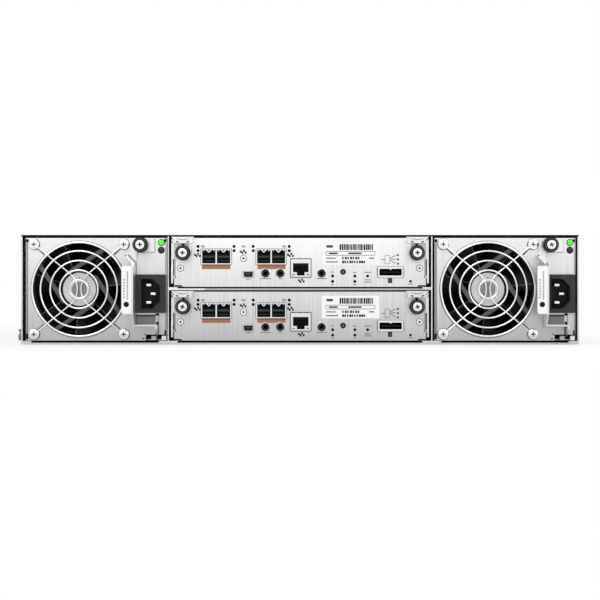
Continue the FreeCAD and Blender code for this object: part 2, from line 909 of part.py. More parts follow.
def ear_caps():
    """Two moulded caps on the front of the ears, between their slots."""
    tall = ("chassis_high / 2 - cap_half_high", "chassis_high / 2 + cap_half_high")
    cap = plate("ear_cap_right", "z", *tall, [
        ("half_wide + ear_steel", "front_face"),
        ("rack_wide / 2 - cap_inset", "front_face"),
        ("rack_wide / 2 - cap_inset", "front_face + cap_thick"),
        ("half_wide + ear_steel", "front_face + cap_thick"),
    ], "cap_round", (2, 3))
    place("ear_caps", group("caps", cap, mirror("ear_cap_left", cap)))


# ---------------------------------------------------------------- power supplies

CORNERS = ((1, 1), (1, -1), (-1, 1), (-1, -1))
VENTS = 8


def psu_case():
    """The sheet-metal case of a power supply, with its face, vents and latch pin."""
    outer = box(
        "psu_outer", ("-psu_fan_side", "psu_inlet_side"), ("0", "module_deep"), ("0", "psu_high"),
    )
    inner = box(
        "psu_inner", ("-psu_fan_side + module_sheet", "psu_inlet_side - module_sheet"),
        ("module_sheet", "module_deep - module_sheet"), ("module_sheet", "psu_high - module_sheet"),
    )
    through = ("-1", "module_sheet + 1")
    back = ("module_deep - module_sheet - 1", "module_deep + 1")
    tools = [
        inner,
        rod("psu_fan_hole", "y", "0", "-1", "fan_up", "fan_bore", "module_sheet + 2"),
        box("psu_inlet_hole", ("inlet_left", "inlet_inside"), through,
            ("inlet_low", "inlet_low + inlet_high")),
        box("psu_plug_hole", ("-plug_wide / 2 - plug_gap", "plug_wide / 2 + plug_gap"), back,
            ("board_top - plug_gap", "board_top + plug_high + plug_gap")),
        rod("psu_thumb_hole", "y", "psu_thumb_at", "-1", "psu_thumb_up", "thumb_hole", "module_sheet + 2"),
        box("psu_notch", ("notch_left", "psu_inlet_side + 1"), ("-1", "notch_deep"), ("-1", "notch_high")),
        box("psu_leg_slot", ("leg_left - seat_gap", "leg_right + seat_gap"), through,
            ("notch_high - 1", "lever_low + leg_slot_over")),
    ]
    for index, (x, z) in enumerate(CORNERS):
        tools.append(rod(
            f"psu_guard_hole_{index}", "y", f"{x} * fan_hole_at", "-1", f"fan_up + {z} * fan_hole_at",
            "fan_screw_radius + pin_fit", "module_sheet + 2",
        ))
    for index in range(2):
        tools.append(rod(
            f"psu_lamp_hole_{index}", "y", "psu_inlet_side - lamp_in", "-1",
            f"psu_high - lamp_down - {index} * lamp_step", "lamp_radius + pin_fit", "module_sheet + 2",
        ))
    for index in range(VENTS):
        left = f"-psu_fan_side + {index} * psu_wide / {VENTS}"
        tools.append(box(
            f"psu_vent_{index}", (f"{left} + psu_vent_web", f"{left} + psu_wide / {VENTS} - psu_vent_web"),
            back, ("psu_vent_low", "psu_high - psu_vent_over"),
        ))
    pin = rod(
        "psu_pivot", "x", "leg_left - pin_end", "pivot_in", "pivot_up",
        "pivot_radius", "psu_inlet_side - module_sheet - leg_left + pin_end",
    )
    return join("psu_case", cut("psu_shell", outer, join("psu_openings", *tools)), pin)


def fan_frame():
    """The square frame of the fan: a duct, a motor base and four leaning struts."""
    half = "fan_size / 2"
    square = [(f"-{half}", f"-{half}"), (half, f"-{half}"), (half, half), (f"-{half}", half)]
    block = plate("fan_block", "y", "0", "fan_deep", square, "fan_boss")
    holes = [rod(
        f"fan_hole_{index}", "y", f"{x} * fan_hole_at", "-1", f"{z} * fan_hole_at",
        "fan_screw_radius + pin_fit", "fan_deep + 2",
    ) for index, (x, z) in enumerate(CORNERS)]
    duct = rod("fan_duct", "y", "0", "-1", "0", "fan_bore", "fan_deep + 2")
    body = cut("fan_body", block, join("fan_holes", duct, *holes))
    strut = plate("fan_strut_arm", "y", "strut_front", "fan_strut", [
        ("strut_inner", "0"),
        ("strut_inner", "-strut_long"),
        ("strut_outer", "-strut_long"),
        ("strut_outer", "strut_gusset / 4"),
        ("strut_inner - strut_root", "strut_gusset"),
    ])
    lean = value("strut_turn")
    along = FreeCAD.Vector(0, 1, 0)
    struts = [turned(f"fan_strut_{index}", strut, along, 90 * index - lean) for index in range(4)]
    base = lathe("fan_motor_base", [
        ("fan_shaft + pin_fit", "fan_strut - fan_bearing_in"),
        ("fan_shaft + pin_fit", "fan_deep / 2"),
        ("fan_boss", "fan_deep / 2"),
        ("fan_boss", "fan_strut"),
        ("fan_hub", "fan_strut"),
        ("fan_hub", "fan_hub_front"),
        ("0", "fan_hub_front"),
        ("0", "fan_strut - fan_bearing_in"),
    ])
    return join("fan_frame", body, base, *struts)


def fan_rotor():
    """The impeller: a cup with its shaft and seven blades with a bend along their middle."""
    body = lathe("fan_impeller", [
        ("0", "fan_strut - fan_shaft_in"),
        ("fan_shaft", "fan_strut - fan_shaft_in"),
        ("fan_shaft", "fan_deep - rotor_web"),
        ("rotor_hub - rotor_wall", "fan_deep - rotor_web"),
        ("rotor_hub - rotor_wall", "rotor_rear"),
        ("rotor_hub", "rotor_rear"),
        ("rotor_hub", "rotor_front"),
        ("0", "rotor_front"),
    ])
    section = outline(body, "blade_section", "x", "rotor_hub - 2 * rotor_wall", [
        ("rotor_rear + blade_inset", "-blade_swing"),
        ("fan_deep / 2", "-blade_thick"),
        ("rotor_front - blade_inset", "blade_swing"),
        ("rotor_front - blade_inset", "blade_swing + blade_thick"),
        ("fan_deep / 2", "0"),
        ("rotor_rear + blade_inset", "-blade_swing + blade_thick"),
    ])
    blade = body.newObject("PartDesign::Pad", "blade")
    blade.Profile = section
    bind(blade, "Length", "blade_end - rotor_hub + 2 * rotor_wall")
    wheel = body.newObject("PartDesign::PolarPattern", "blades")
    wheel.Originals = [blade]
    wheel.Axis = ([item for item in body.Origin.OriginFeatures if item.Role == "Y_Axis"][0], [""])
    wheel.Angle = 360
    bind(wheel, "Occurrences", "blade_count")
    body.Tip = wheel
    return body


def hoop(name, radius, x, y):
    """A wire ring about the Y axis, drawn with a square wire."""
    return cut(
        name,
        rod(name + "_out", "y", x, y, "0", f"{radius} + guard_wire", "2 * guard_wire"),
        rod(name + "_in", "y", x, f"{y} - 1", "0", f"{radius} - guard_wire", "2 * guard_wire + 2"),
    )


def fan_guard():
    """The wire finger guard: rings and a lip on two bent wires with an eye at each end."""
    front = "-4 * guard_wire + guard_weld"
    rings = [
        hoop(f"guard_hoop_{index}", f"(guard_ring_inner + {index} * guard_ring_step)", "0", front)
        for index in range(4)
    ]
    rings.append(hoop("guard_hoop_lip", "guard_lip", "0", "-2 * guard_wire"))
    bow = hoop("guard_bow_full", "guard_bend", "-guard_bend_at", "-2 * guard_wire")
    window = box(
        "guard_window", ("-guard_bend_at + guard_bend * guard_lean_x - guard_weld", "0"),
        ("-3 * guard_wire", "1"), ("-fan_hole_at", "fan_hole_at"),
    )
    wires = [common("guard_bow", bow, window)]
    for name, sign in (("upper", ""), ("lower", "-")):
        wires.append(plate("guard_run_" + name, "y", "-2 * guard_wire", "0", [
            (f"{start} {side} guard_wire * guard_lean_x", f"{sign}({level} {side} guard_wire * guard_lean_z)")
            for start, level, side in (
                ("-guard_bend_at + guard_bend * guard_lean_x", "guard_bend * guard_lean_z", "-"),
                ("-fan_hole_at", "fan_hole_at", "-"),
                ("-fan_hole_at", "fan_hole_at", "+"),
                ("-guard_bend_at + guard_bend * guard_lean_x", "guard_bend * guard_lean_z", "+"),
            )
        ]))
    left = join("guard_wire_left", *wires)
    right = mirror("guard_wire_right", left)
    eyes = []
    holes = []
    for index, (x, z) in enumerate(CORNERS):
        at = (f"{x} * fan_hole_at", "-2 * guard_wire", f"{z} * fan_hole_at")
        eyes.append(rod(f"guard_eye_{index}", "y", *at, "guard_eye", "2 * guard_wire"))
        holes.append(rod(f"guard_eye_hole_{index}", "y", *at, "fan_screw_radius + pin_fit", "2 * guard_wire"))
    whole = join("guard_wires", *rings, left, right, *eyes)
    return cut("fan_guard", whole, group("guard_eye_holes", *holes))


def guard_screws():
    """Four pan-head screws through the guard's eyes and the face into the fan."""
    seat = "-2 * guard_wire"
    screw = join(
        "guard_screw",
        rod("guard_screw_head", "y", "0", f"{seat} - guard_head_high", "0",
            "fan_screw_head", "guard_head_high"),
        rod("guard_screw_shank", "y", "0", seat, "0", "fan_screw_radius", "guard_screw_long"),
    )
    return group("guard_screws", *[move(
        group(f"guard_screw_{index}", screw), f"{x} * fan_hole_at", "0", f"{z} * fan_hole_at",
    ) for index, (x, z) in enumerate(CORNERS)])


def psu_inlet():
    """The mains inlet: a moulded block with a cut-cornered socket and three prongs."""
    tall = ("inlet_low + pin_fit", "inlet_low + inlet_high - pin_fit")
    block = join(
        "inlet_block",
        box("inlet_rim", ("inlet_left + pin_fit", "inlet_right"), ("-inlet_out", "0"), tall),
        box("inlet_body", ("inlet_left + pin_fit", "inlet_inside - pin_fit"), ("0", "inlet_deep"), tall),
    )
    right = "socket_mid + socket_wide / 2"
    left = "socket_mid - socket_wide / 2"
    top = "socket_up + socket_high / 2"
    low = "socket_up - socket_high / 2"
    socket = plate("inlet_socket", "y", "-inlet_out - 1", "socket_deep - inlet_out", [
        (left, low),
        (f"{right} - socket_corner", low),
        (right, f"{low} + socket_corner"),
        (right, f"{top} - socket_corner"),
        (f"{right} - socket_corner", top),
        (left, top),
    ])
    prongs = []
    for index, (middle, level) in enumerate((
        ("socket_mid - prong_left", "socket_up + prong_aside"),
        ("socket_mid - prong_left", "socket_up - prong_aside"),
        ("socket_mid + prong_right", "socket_up"),
    )):
        prongs.append(box(
            f"inlet_prong_{index}", (f"{middle} - prong_wide / 2", f"{middle} + prong_wide / 2"),
            ("prong_back - inlet_out", "socket_deep - inlet_out + 1"),
            (f"{level} - prong_thick / 2", f"{level} + prong_thick / 2"),
        ))
    return join("psu_inlet", cut("inlet_shell", block, socket), *prongs)


def psu_latch():
    """The power supply's latch: leg, step, lever, grip and the tab under the thumbscrew."""
    arm = plate("latch_leg", "x", "leg_left", "leg_right", [
        ("-lever_step", "lever_low"),
        ("-lever_step", "lever_low - leg_nose"),
        ("-leg_chin", "pivot_up - leg_round"),
        ("pivot_in - leg_chin", "leg_foot"),
        ("pivot_in + leg_heel", "leg_foot"),
        ("pivot_in + leg_heel + leg_slant", "pivot_up + leg_round"),
        ("0", "lever_low"),
        ("latch_front", "lever_low"),
    ])
    step = box(
        "latch_step", ("lever_left", "leg_right"), ("-lever_step", "latch_front"),
        ("lever_low - latch_sheet / 2", "lever_low + latch_sheet / 2"),
    )
    lever = plate("latch_lever", "x", "lever_left", "lever_right", [
        ("latch_front", "lever_low"),
        ("-lever_step", "lever_low"),
        ("-lever_out", "grip_low"),
        ("-lever_out", "grip_top"),
        ("-fold_out", "lever_top + lever_over"),
        ("latch_front", "lever_top + lever_over"),
    ])
    grip = plate("latch_grip", "y", "-lever_out + grip_back", "-lever_out + grip_back + latch_sheet", [
        ("grip_left", "grip_low"),
        ("lever_right", "grip_low"),
        ("lever_right", "grip_top"),
        ("grip_left", "grip_top"),
    ], "grip_round", (0, 3))
    fold = plate("latch_fold", "y", "-fold_out", "latch_face", [
        ("lever_left", "lever_top"),
        ("lever_right", "lever_top"),
        ("lever_right", "lever_top + fold_wide"),
        ("fold_left + fold_wide", "fold_up + fold_wide / 2"),
        ("fold_left", "fold_up"),
    ])
    tab = plate("latch_tab", "y", "latch_front", "latch_face", [
        ("fold_left", "fold_up"),
        ("lever_left", "lever_top"),
        ("lever_right", "tab_root"),
        ("tab_side", "tab_corner"),
        ("tab_side", "tab_low"),
        ("tab_right", "tab_low"),
        ("tab_right", "psu_high - tab_top_gap"),
        ("tab_left", "psu_high - tab_top_gap"),
        ("tab_left", "tab_low"),
    ])
    holes = join(
        "latch_holes",
        rod("latch_pivot_hole", "x", "leg_left - 1", "pivot_in", "pivot_up",
            "pivot_radius + pin_fit", "latch_sheet + 2"),
        rod("latch_thumb_hole", "y", "psu_thumb_at", "latch_front - 1", "psu_thumb_up",
            "thumb_shank + pin_fit", "latch_sheet + 2"),
    )
    return cut("psu_latch", join("latch_bent", arm, step, lever, grip, fold, tab), holes)


def thumbscrew():
    """A captive thumbscrew: a steel head in a black ring, and its shank."""
    ring_front = "-thumb_out + thumb_head_out"
    ring_back = "latch_front - seat_gap"
    return lathe("thumbscrew", [
        ("0", "-thumb_out"),
        ("thumb_head", "-thumb_out"),
        ("thumb_head", ring_front),
        ("thumb_ring - thumb_bevel", ring_front),
        ("thumb_ring", f"{ring_front} + thumb_slope"),
        ("thumb_ring", f"{ring_back} - thumb_bevel"),
        ("thumb_ring - thumb_bevel", ring_back),
        ("thumb_shank", ring_back),
        ("thumb_shank", "thumb_tip"),
        ("0", "thumb_tip"),
    ])


def board_feet(name, left, right, front):
    """The four short pillars under a module's board."""
    places = [(x, y) for x in (left, right) for y in (front, "module_deep - foot_end")]
    return [rod(
        f"{name}_foot_{index}", "z", x, y, "module_sheet", "foot_radius", "foot_long",
    ) for index, (x, y) in enumerate(places)]


def rear_plug(name):
    """The plug at the back of a module's board, which meets the midplane board."""
    return box(
        name, ("-plug_wide / 2", "plug_wide / 2"), ("module_deep - plug_root", "module_deep + plug_deep"),
        ("board_top", "board_top + plug_high"),
    )


def psu_board():
    """The supply's board: coils, capacitors, a heat sink, lamps and the rear plug."""
    board = box(
        "psu_pcb", ("-psu_fan_side + psu_board_edge", "psu_inlet_side - psu_board_edge"),
        ("psu_board_in", "module_deep - board_end"), ("board_up", "board_top"),
    )
    feet = board_feet(
        "psu", "-psu_fan_side + psu_board_edge + foot_inset", "psu_inlet_side - psu_board_edge - foot_inset",
        "psu_foot_in",
    )
    lamp_left = "psu_inlet_side - lamp_in - lamp_bar_half"
    post_back = "psu_board_in + lamp_post_deep"
    parts = [
        rear_plug("psu_plug"),
        box("psu_coil", ("-coil_half", "coil_half"), ("coil_in", "coil_in + coil_long"),
            ("board_top", "board_top + coil_high")),
        box("psu_sink", ("sink_at", "sink_at + sink_thick"), ("sink_in", "sink_in + sink_long"),
            ("board_top", "board_top + sink_high")),
        rod("psu_can_one", "z", "can_at", "can_one", "board_top", "can_radius", "can_high"),
        rod("psu_can_two", "z", "can_at", "can_two", "board_top", "can_radius", "can_high"),
        box("psu_lamp_bar", (lamp_left, f"{lamp_left} + 2 * lamp_bar_half"), ("lamp_bar_in", post_back),
            ("psu_high - lamp_down - lamp_step - lamp_bar_half", "psu_high - lamp_down + lamp_bar_over")),
        box("psu_lamp_post", (lamp_left, f"{lamp_left} + lamp_post"), ("psu_board_in", post_back),
            ("board_up", "psu_high - lamp_down")),
    ]
    for index in range(2):
        parts.append(rod(
            f"psu_lamp_{index}", "y", "psu_inlet_side - lamp_in", "-lamp_out",
            f"psu_high - lamp_down - {index} * lamp_step", "lamp_radius", "lamp_long",
        ))
    return join("psu_board", board, *feet, *parts)


def power_supplies():
    case = psu_case()
    frame = fan_frame()
    rotor = fan_rotor()
    guard = fan_guard()
    screws = guard_screws()
    inlet = psu_inlet()
    latch = psu_latch()
    thumb = thumbscrew()
    board = psu_board()
    up = "module_lift + fan_up"
    for side in ("left", "right"):
        at = f"psu_{side}_at"
        place(f"psu_case_{side}", case, at, "rear_face", "module_lift")
        place(f"psu_fan_frame_{side}", frame, at, "rear_face + module_sheet", up)
        place(f"psu_fan_rotor_{side}", rotor, at, "rear_face + module_sheet", up)
        place(f"psu_fan_guard_{side}", guard, at, "rear_face", up)
        place(f"psu_guard_screws_{side}", screws, at, "rear_face", up)
        place(f"psu_inlet_{side}", inlet, at, "rear_face", "module_lift")
        place(f"psu_latch_{side}", latch, at, "rear_face", "module_lift")
        place(f"psu_thumbscrew_{side}", thumb, f"{at} + psu_thumb_at", "rear_face",
              "module_lift + psu_thumb_up")
        place(f"psu_board_{side}", board, at, "rear_face", "module_lift")
    return thumb


# ---------------------------------------------------------------- controllers

def port_window(name, left, right, low, top):
    """An opening in the controller's face, a little larger than the port in it."""
    return box(
        name + "_window", (f"{left} - port_fit", f"{right} + port_fit"), ("-1", "module_sheet + 1"),
        (f"{low} - port_fit", f"{top} + port_fit"),
    )


def face_bore(name, at, up, radius):
    """A round hole through the controller's face."""
    return rod(name, "y", at, "-1", up, radius, "module_sheet + 2")


def controller_case():
    """The controller's case: a closed box whose face is cut for its ports."""
    outer = box(
        "controller_outer", ("-controller_half", "controller_half"), ("0", "module_deep"),
        ("0", "controller_high"),
    )
    inner = box(
        "controller_inner", ("-controller_half + module_sheet", "controller_half - module_sheet"),
        ("module_sheet", "module_deep - module_sheet"), ("module_sheet", "controller_high - module_sheet"),
    )
    back = ("module_deep - module_sheet - 1", "module_deep + 1")
    tools = [
        inner,
        port_window("jack", "jack_at - jack_half", "jack_at + jack_half", "jack_low", "jack_top"),
        port_window("usb", "usb_at - usb_half", "usb_at + usb_half", "usb_low", "usb_low + usb_high"),
        port_window("sas", "sas_at - sas_half", "sas_at + sas_half", "sas_low", "sas_low + sas_high"),
        face_bore("button_window", "button_at", "button_up", "button_radius"),
        face_bore("thumb_window_left", "-thumb_at", "thumb_up", "thumb_hole"),
        face_bore("thumb_window_right", "thumb_at", "thumb_up", "thumb_hole"),
        box("controller_plug_hole", ("-plug_wide / 2 - plug_gap", "plug_wide / 2 + plug_gap"), back,
            ("board_top - plug_gap", "board_top + plug_high + plug_gap")),
    ]
    for name in ("left", "right"):
        left, right = f"cage_{name} - cage_half", f"cage_{name} + cage_half"
        tools.append(port_window("cage_" + name, left, right, "cage_low", "cage_top"))
    for name in ("one", "two", "three"):
        bore = "audio_radius + pin_fit"
        tools.append(face_bore("audio_window_" + name, "audio_" + name, "audio_up", bore))
    for index in range(VENTS):
        pitch = f"2 * controller_half / {VENTS}"
        left = f"-controller_half + {index} * {pitch}"
        tools.append(box(
            f"controller_vent_{index}",
            (f"{left} + controller_vent_web", f"{left} + {pitch} - controller_vent_web"),
            back, ("controller_vent_low", "controller_high - controller_vent_over"),
        ))
    reach = "arm_gap + arm_sheet + arm_pin_root"
    pins = [rod(
        "controller_pivot_" + name, "x", start, "arm_pivot_in", "arm_pivot_up", "pivot_radius", reach,
    ) for name, start in (("right", "controller_half - arm_pin_root"), ("left", "-arm_out"))]
    return join("controller_case", cut("controller_shell", outer, join("controller_cuts", *tools)), *pins)


def cage_pair(name):
    """A double cage for two host cables, with a wall between its openings."""
    at = "cage_" + name
    shell = box(f"host_cage_{name}", (f"{at} - cage_half", f"{at} + cage_half"), ("-cage_out", "cage_long"),
                ("cage_low", "cage_top"))
    holes = [box(
        f"host_hole_{name}_{index}",
        (f"{at} {sign} cage_hole_at - cage_hole_half", f"{at} {sign} cage_hole_at + cage_hole_half"),
        ("-cage_out - 1", "cage_hole_deep"), ("cage_low + port_wall", "cage_top - port_wall"),
    ) for index, sign in enumerate("-+")]
    return cut(f"host_ports_{name}", shell, group(f"host_holes_{name}", *holes))


def network_jack():
    """The network socket, whose opening has a narrower key slot below."""
    block = box(
        "jack_block", ("jack_at - jack_half", "jack_at + jack_half"), ("-cage_out", "jack_deep"),
        ("jack_low", "jack_top"),
    )
    deep = ("-cage_out - 1", "jack_hole_deep")
    return cut("network_jack", block, join(
        "jack_mouth",
        box("jack_mouth_wide", ("jack_at - jack_hole_half", "jack_at + jack_hole_half"), deep,
            ("jack_hole_low + jack_ledge", "jack_hole_top")),
        box("jack_mouth_key", ("jack_at - jack_hole_half / 2", "jack_at + jack_hole_half / 2"), deep,
            ("jack_hole_low - jack_key_down", "jack_hole_top - jack_key_top")),
    ))


def usb_port():
    """The small flat socket at the left."""
    shell = box(
        "usb_shell", ("usb_at - usb_half", "usb_at + usb_half"), ("-cage_out", "usb_deep"),
        ("usb_low", "usb_low + usb_high"),
    )
    return cut("usb_port", shell, box(
        "usb_mouth", ("usb_at - usb_half + usb_wall", "usb_at + usb_half - usb_wall"),
        ("-cage_out - 1", "usb_hole_deep"), ("usb_low + usb_wall", "usb_low + usb_high - usb_wall"),
    ))


def sas_port():
    """The wide low socket for the next shelf's cable, with round corners."""
    middle = "sas_low + sas_high / 2"
    shell = plate("sas_shell", "y", "-cage_out", "sas_deep", [
        ("sas_at - sas_half", "sas_low"),
        ("sas_at + sas_half", "sas_low"),
        ("sas_at + sas_half", "sas_low + sas_high"),
        ("sas_at - sas_half", "sas_low + sas_high"),
    ], "sas_round")
    return cut("sas_port", shell, box(
        "sas_mouth", ("sas_at - sas_hole_half", "sas_at + sas_hole_half"),
        ("-cage_out - 1", "sas_deep - sas_back"),
        (f"{middle} - sas_hole_high / 2", f"{middle} + sas_hole_high / 2"),
    ))


def round_port(name):
    """A round socket with a bore."""
    at = "audio_" + name
    return cut(
        at + "_port",
        rod(at + "_barrel", "y", at, "-cage_out", "audio_up", "audio_radius", "audio_long"),
        rod(at + "_bore", "y", at, "-cage_out - 1", "audio_up", "audio_bore", "audio_bore_long"),
    )


def controller_ports():
    """All the sockets in a controller's face, each a separate shell on its board."""
    rounds = [round_port(name) for name in ("one", "two", "three")]
    cages = [cage_pair("left"), cage_pair("right")]
    return group("controller_ports", *cages, network_jack(), usb_port(), sas_port(), *rounds)


def controller_button():
    """The small round button beside the sockets, with its plunger on the board's switch."""
    at = ("y", "button_at")
    return join(
        "controller_button",
        rod("button_cap", *at, "button_in", "button_up", "button_radius - button_fit", "button_face"),
        rod("button_stop", *at, "module_sheet + seat_gap", "button_up",
            "button_radius + button_flange", "button_flange_long"),
        rod("button_rod", *at, "module_sheet + 1", "button_up", "button_stem", "button_long"),
    )


def controller_latch():
    """The right-hand latch of a controller: side arm, face plate and finger tab."""
    arm = plate("arm_side", "x", "arm_in", "arm_out", [
        ("-arm_front", "arm_low"),
        ("arm_pivot_in + arm_heel", "arm_low"),
        ("arm_pivot_in + arm_heel_top", "arm_step_up"),
        ("arm_web", "arm_step_up + arm_bend"),
        ("arm_web", "arm_top - arm_down"),
        ("latch_front", "arm_top"),
        ("latch_front", "arm_step_up + arm_bend"),
        ("-arm_chin", "arm_step_up"),
    ])
    face = box("arm_face", ("plate_in", "arm_out"), ("latch_front", "latch_face"), ("plate_low", "plate_top"))
    finger = plate("arm_finger", "z", "plate_top - finger_under", "plate_top + finger_over", [
        ("finger_at - finger_root", "latch_face"),
        ("finger_at - finger_root", "latch_front - finger_neck"),
        ("finger_at - finger_half", "-finger_out + finger_corner"),
        ("finger_at - finger_half + finger_bevel", "-finger_out"),
        ("finger_at + finger_half - finger_bevel", "-finger_out"),
        ("finger_at + finger_half", "-finger_out + finger_corner"),
        ("finger_at + finger_root", "latch_front - finger_neck"),
        ("finger_at + finger_root", "latch_face"),
    ])
    lip = plate("arm_finger_lip", "y", "-finger_out", "-finger_out + latch_sheet", [
        ("finger_at - finger_root", "plate_top - finger_under"),
        ("finger_at + finger_root", "plate_top - finger_under"),
        ("finger_at + finger_half - finger_lip", "plate_top + finger_rise - finger_lip"),
        ("finger_at + finger_half", "plate_top + finger_rise"),
        ("finger_at - finger_half", "plate_top + finger_rise"),
        ("finger_at - finger_half + finger_lip", "plate_top + finger_rise - finger_lip"),
    ])
    holes = join(
        "arm_holes",
        rod("arm_pivot_hole", "x", "arm_in - 1", "arm_pivot_in", "arm_pivot_up",
            "pivot_radius + pin_fit", "arm_sheet + 2"),
        rod("arm_thumb_hole", "y", "thumb_at", "latch_front - 1", "thumb_up",
            "thumb_shank + pin_fit", "latch_sheet + 2"),
    )
    return cut("controller_latch", join("arm_bent", arm, face, finger, lip), holes)


def controller_board():
    """The controller's board: chip cooler, memory, a spacer under each port, rear plug."""
    edge = "(controller_half - controller_board_edge)"
    board = box(
        "controller_pcb", (f"-{edge}", edge), ("controller_board_in", "module_deep - board_end"),
        ("board_up", "board_top"),
    )
    feet = board_feet("controller", f"-{edge} + foot_inset", f"{edge} - foot_inset", "controller_foot_in")
    switch_front = "module_sheet + 1 + button_long + button_travel + seat_gap"
    parts = [
        rear_plug("controller_plug"),
        box("controller_switch", ("button_at - switch_half", "button_at + switch_half"),
            (switch_front, "button_long + switch_end"), ("board_top", "button_up + switch_over")),
        box("controller_cooler", ("-cooler_half", "cooler_half"), ("cooler_in", "cooler_in + cooler_long"),
            ("board_top", "board_top + cooler_high")),
    ]
    for index in range(2):
        left = f"memory_at + {index} * memory_pitch"
        parts.append(box(
            f"controller_memory_{index}", (left, f"{left} + memory_thick"),
            ("memory_in", "memory_in + memory_long"), ("board_top", "board_top + memory_high"),
        ))
    for name in ("left", "right"):
        parts.append(box(
            f"cage_seat_{name}", (f"cage_{name} - seat_half", f"cage_{name} + seat_half"),
            ("seat_in", "seat_in + seat_long"), ("board_top", "cage_low"),
        ))
    return join("controller_board", board, *feet, *parts)


def controllers(thumb):
    case = controller_case()
    ports = controller_ports()
    board = controller_board()
    button = controller_button()
    right = controller_latch()
    latches = {"left": mirror("controller_latch_mirrored", right), "right": right}
    for level, up in (("lower", "module_lift"), ("upper", "module_lift + controller_pitch")):
        place(f"controller_case_{level}", case, "0", "rear_face", up)
        place(f"controller_ports_{level}", ports, "0", "rear_face", up)
        place(f"controller_board_{level}", board, "0", "rear_face", up)
        place(f"controller_button_{level}", button, "0", "rear_face", up)
        for side, sign in (("left", "-"), ("right", "")):
            place(f"controller_latch_{level}_{side}", latches[side], "0", "rear_face", up)
            place(f"controller_thumbscrew_{level}_{side}", thumb, f"{sign}thumb_at", "rear_face",
                  f"{up} + thumb_up")


# ---------------------------------------------------------------- drives

LEVER_LEFT = "-carrier_half + lever_pin_at - lever_round - lever_skin"


def disk_carrier():
    """A disk on its carrier: two rails, a bezel with a lever pocket, and the disk."""
    middle = "carrier_high / 2"
    bezel = box(
        "carrier_bezel", ("-carrier_half", "carrier_half"), ("-bezel_deep", "0"), ("0", "carrier_high"),
    )
    pocket = box(
        "carrier_pocket", (f"{LEVER_LEFT} - pocket_gap", "carrier_half - pocket_end"), ("-lever_pocket", "1"),
        (f"{middle} - lever_half_high - pocket_gap", f"{middle} + lever_half_high + pocket_gap"),
    )
    vents = []
    for index in range(5):
        left = f"-carrier_half + {index + 1} * bezel_vent_pitch"
        vents.append(box(
            f"carrier_vent_{index}", (left, f"{left} + bezel_vent"), ("-bezel_deep - 1", "0"),
            (f"{middle} - bezel_vent_half", f"{middle} + bezel_vent_half"),
        ))
    disk_back = "-disk_in - disk_long"
    rails = [box(
        f"carrier_rail_{index}", (low, f"{low} + rail_thick"), (disk_back, "-bezel_deep + 1"),
        ("rail_up", "rail_up + rail_high"),
    ) for index, low in enumerate(("-carrier_half", "carrier_half - rail_thick"))]
    pin = rod("carrier_pin", "z", "-carrier_half + lever_pin_at", "-lever_pin_in", "1",
              "lever_pin", "carrier_high - 2")
    front = cut("carrier_front", bezel, join("carrier_cuts", pocket, *vents))
    disk = cut(
        "disk",
        box("disk_block", ("-disk_wide / 2", "disk_wide / 2"), (disk_back, "-disk_in"),
            ("disk_up", "disk_up + disk_high")),
        box("disk_step", ("-disk_wide / 2 - 1", "disk_wide / 2 + 1"),
            (f"{disk_back} - 1", f"{disk_back} + disk_step"), ("0", "disk_step")),
    )
    return group("disk_carrier", join("carrier_frame", front, *rails, pin), disk)


def carrier_lever():
    """The lever of a carrier: a long moulded grip that is round about its upright pin."""
    right = "carrier_half - lever_end"
    middle = "carrier_high / 2"
    tall = (f"{middle} - lever_half_high", f"{middle} + lever_half_high")
    bar = plate("lever_bar", "z", *tall, [
        (LEVER_LEFT, "-lever_thick"),
        (f"{right} - lever_taper", "-lever_thick"),
        (f"{right} - lever_finger", "-lever_thick + lever_finger_in"),
        (right, "-lever_thick + lever_finger_end"),
        (right, "-lever_front"),
        (LEVER_LEFT, "-lever_front"),
    ], "lever_round", (0, 5))
    slot = box(
        "lever_slot", ("-carrier_half + lever_slot_in", "carrier_half - lever_slot_end"),
        ("-lever_thick - 1", "1"), (f"{middle} - lever_slot_half", f"{middle} + lever_slot_half"),
    )
    hole = rod("lever_hole", "z", "-carrier_half + lever_pin_at", "-lever_pin_in", "0",
               "lever_pin + pin_fit", "carrier_high")
    return cut("carrier_lever", bar, join("lever_cuts", slot, hole))


def drive_blank():
    """A blank for an empty bay: a moulded front with louvres and two short rails."""
    front = box("blank_front", ("-carrier_half", "carrier_half"), ("-blank_deep", "0"), ("0", "carrier_high"))
    hollow = box(
        "blank_hollow", ("-carrier_half + blank_wall", "carrier_half - blank_wall"),
        ("-blank_deep - 1", "-blank_face"), ("blank_wall", "carrier_high + 1"),
    )
    louvres = []
    for index in range(4):
        low = f"louvre_low + {index} * louvre_pitch"
        louvres.append(box(
            f"blank_louvre_{index}", ("-carrier_half + louvre_inset", "carrier_half - louvre_inset"),
            ("-blank_face - 1", "1"), (low, f"{low} + louvre_high"),
        ))
    return cut("drive_blank", front, join("blank_cuts", hollow, *louvres))


def drives():
    carrier = disk_carrier()
    lever = carrier_lever()
    blank = drive_blank()
    for bay, column, row in bays():
        at = (bay_middle(column), "front_face", bay_floor(row) + " + seat_gap")
        if column < 2:
            place(f"disk_carrier_{bay}", carrier, *at)
            place(f"carrier_lever_{bay}", lever, *at)
        else:
            place(f"drive_blank_{bay}", blank, *at)


# ---------------------------------------------------------------- build

chassis_tray()
top_cover()
cover_screws()
module_bay_dividers()
drive_cage()
midplane_board()
rack_ears()
ear_caps()
controllers(power_supplies())
drives()
doc.recompute()

for item in doc.Objects:
    if {"Invalid", "Error"} & set(item.State):
        raise RuntimeError(f"{item.Label} failed: {item.State}")
for node in nodes:
    if node.Shape.isNull() or not node.Shape.isValid():
        raise RuntimeError(f"{node.Label} has no valid shape")

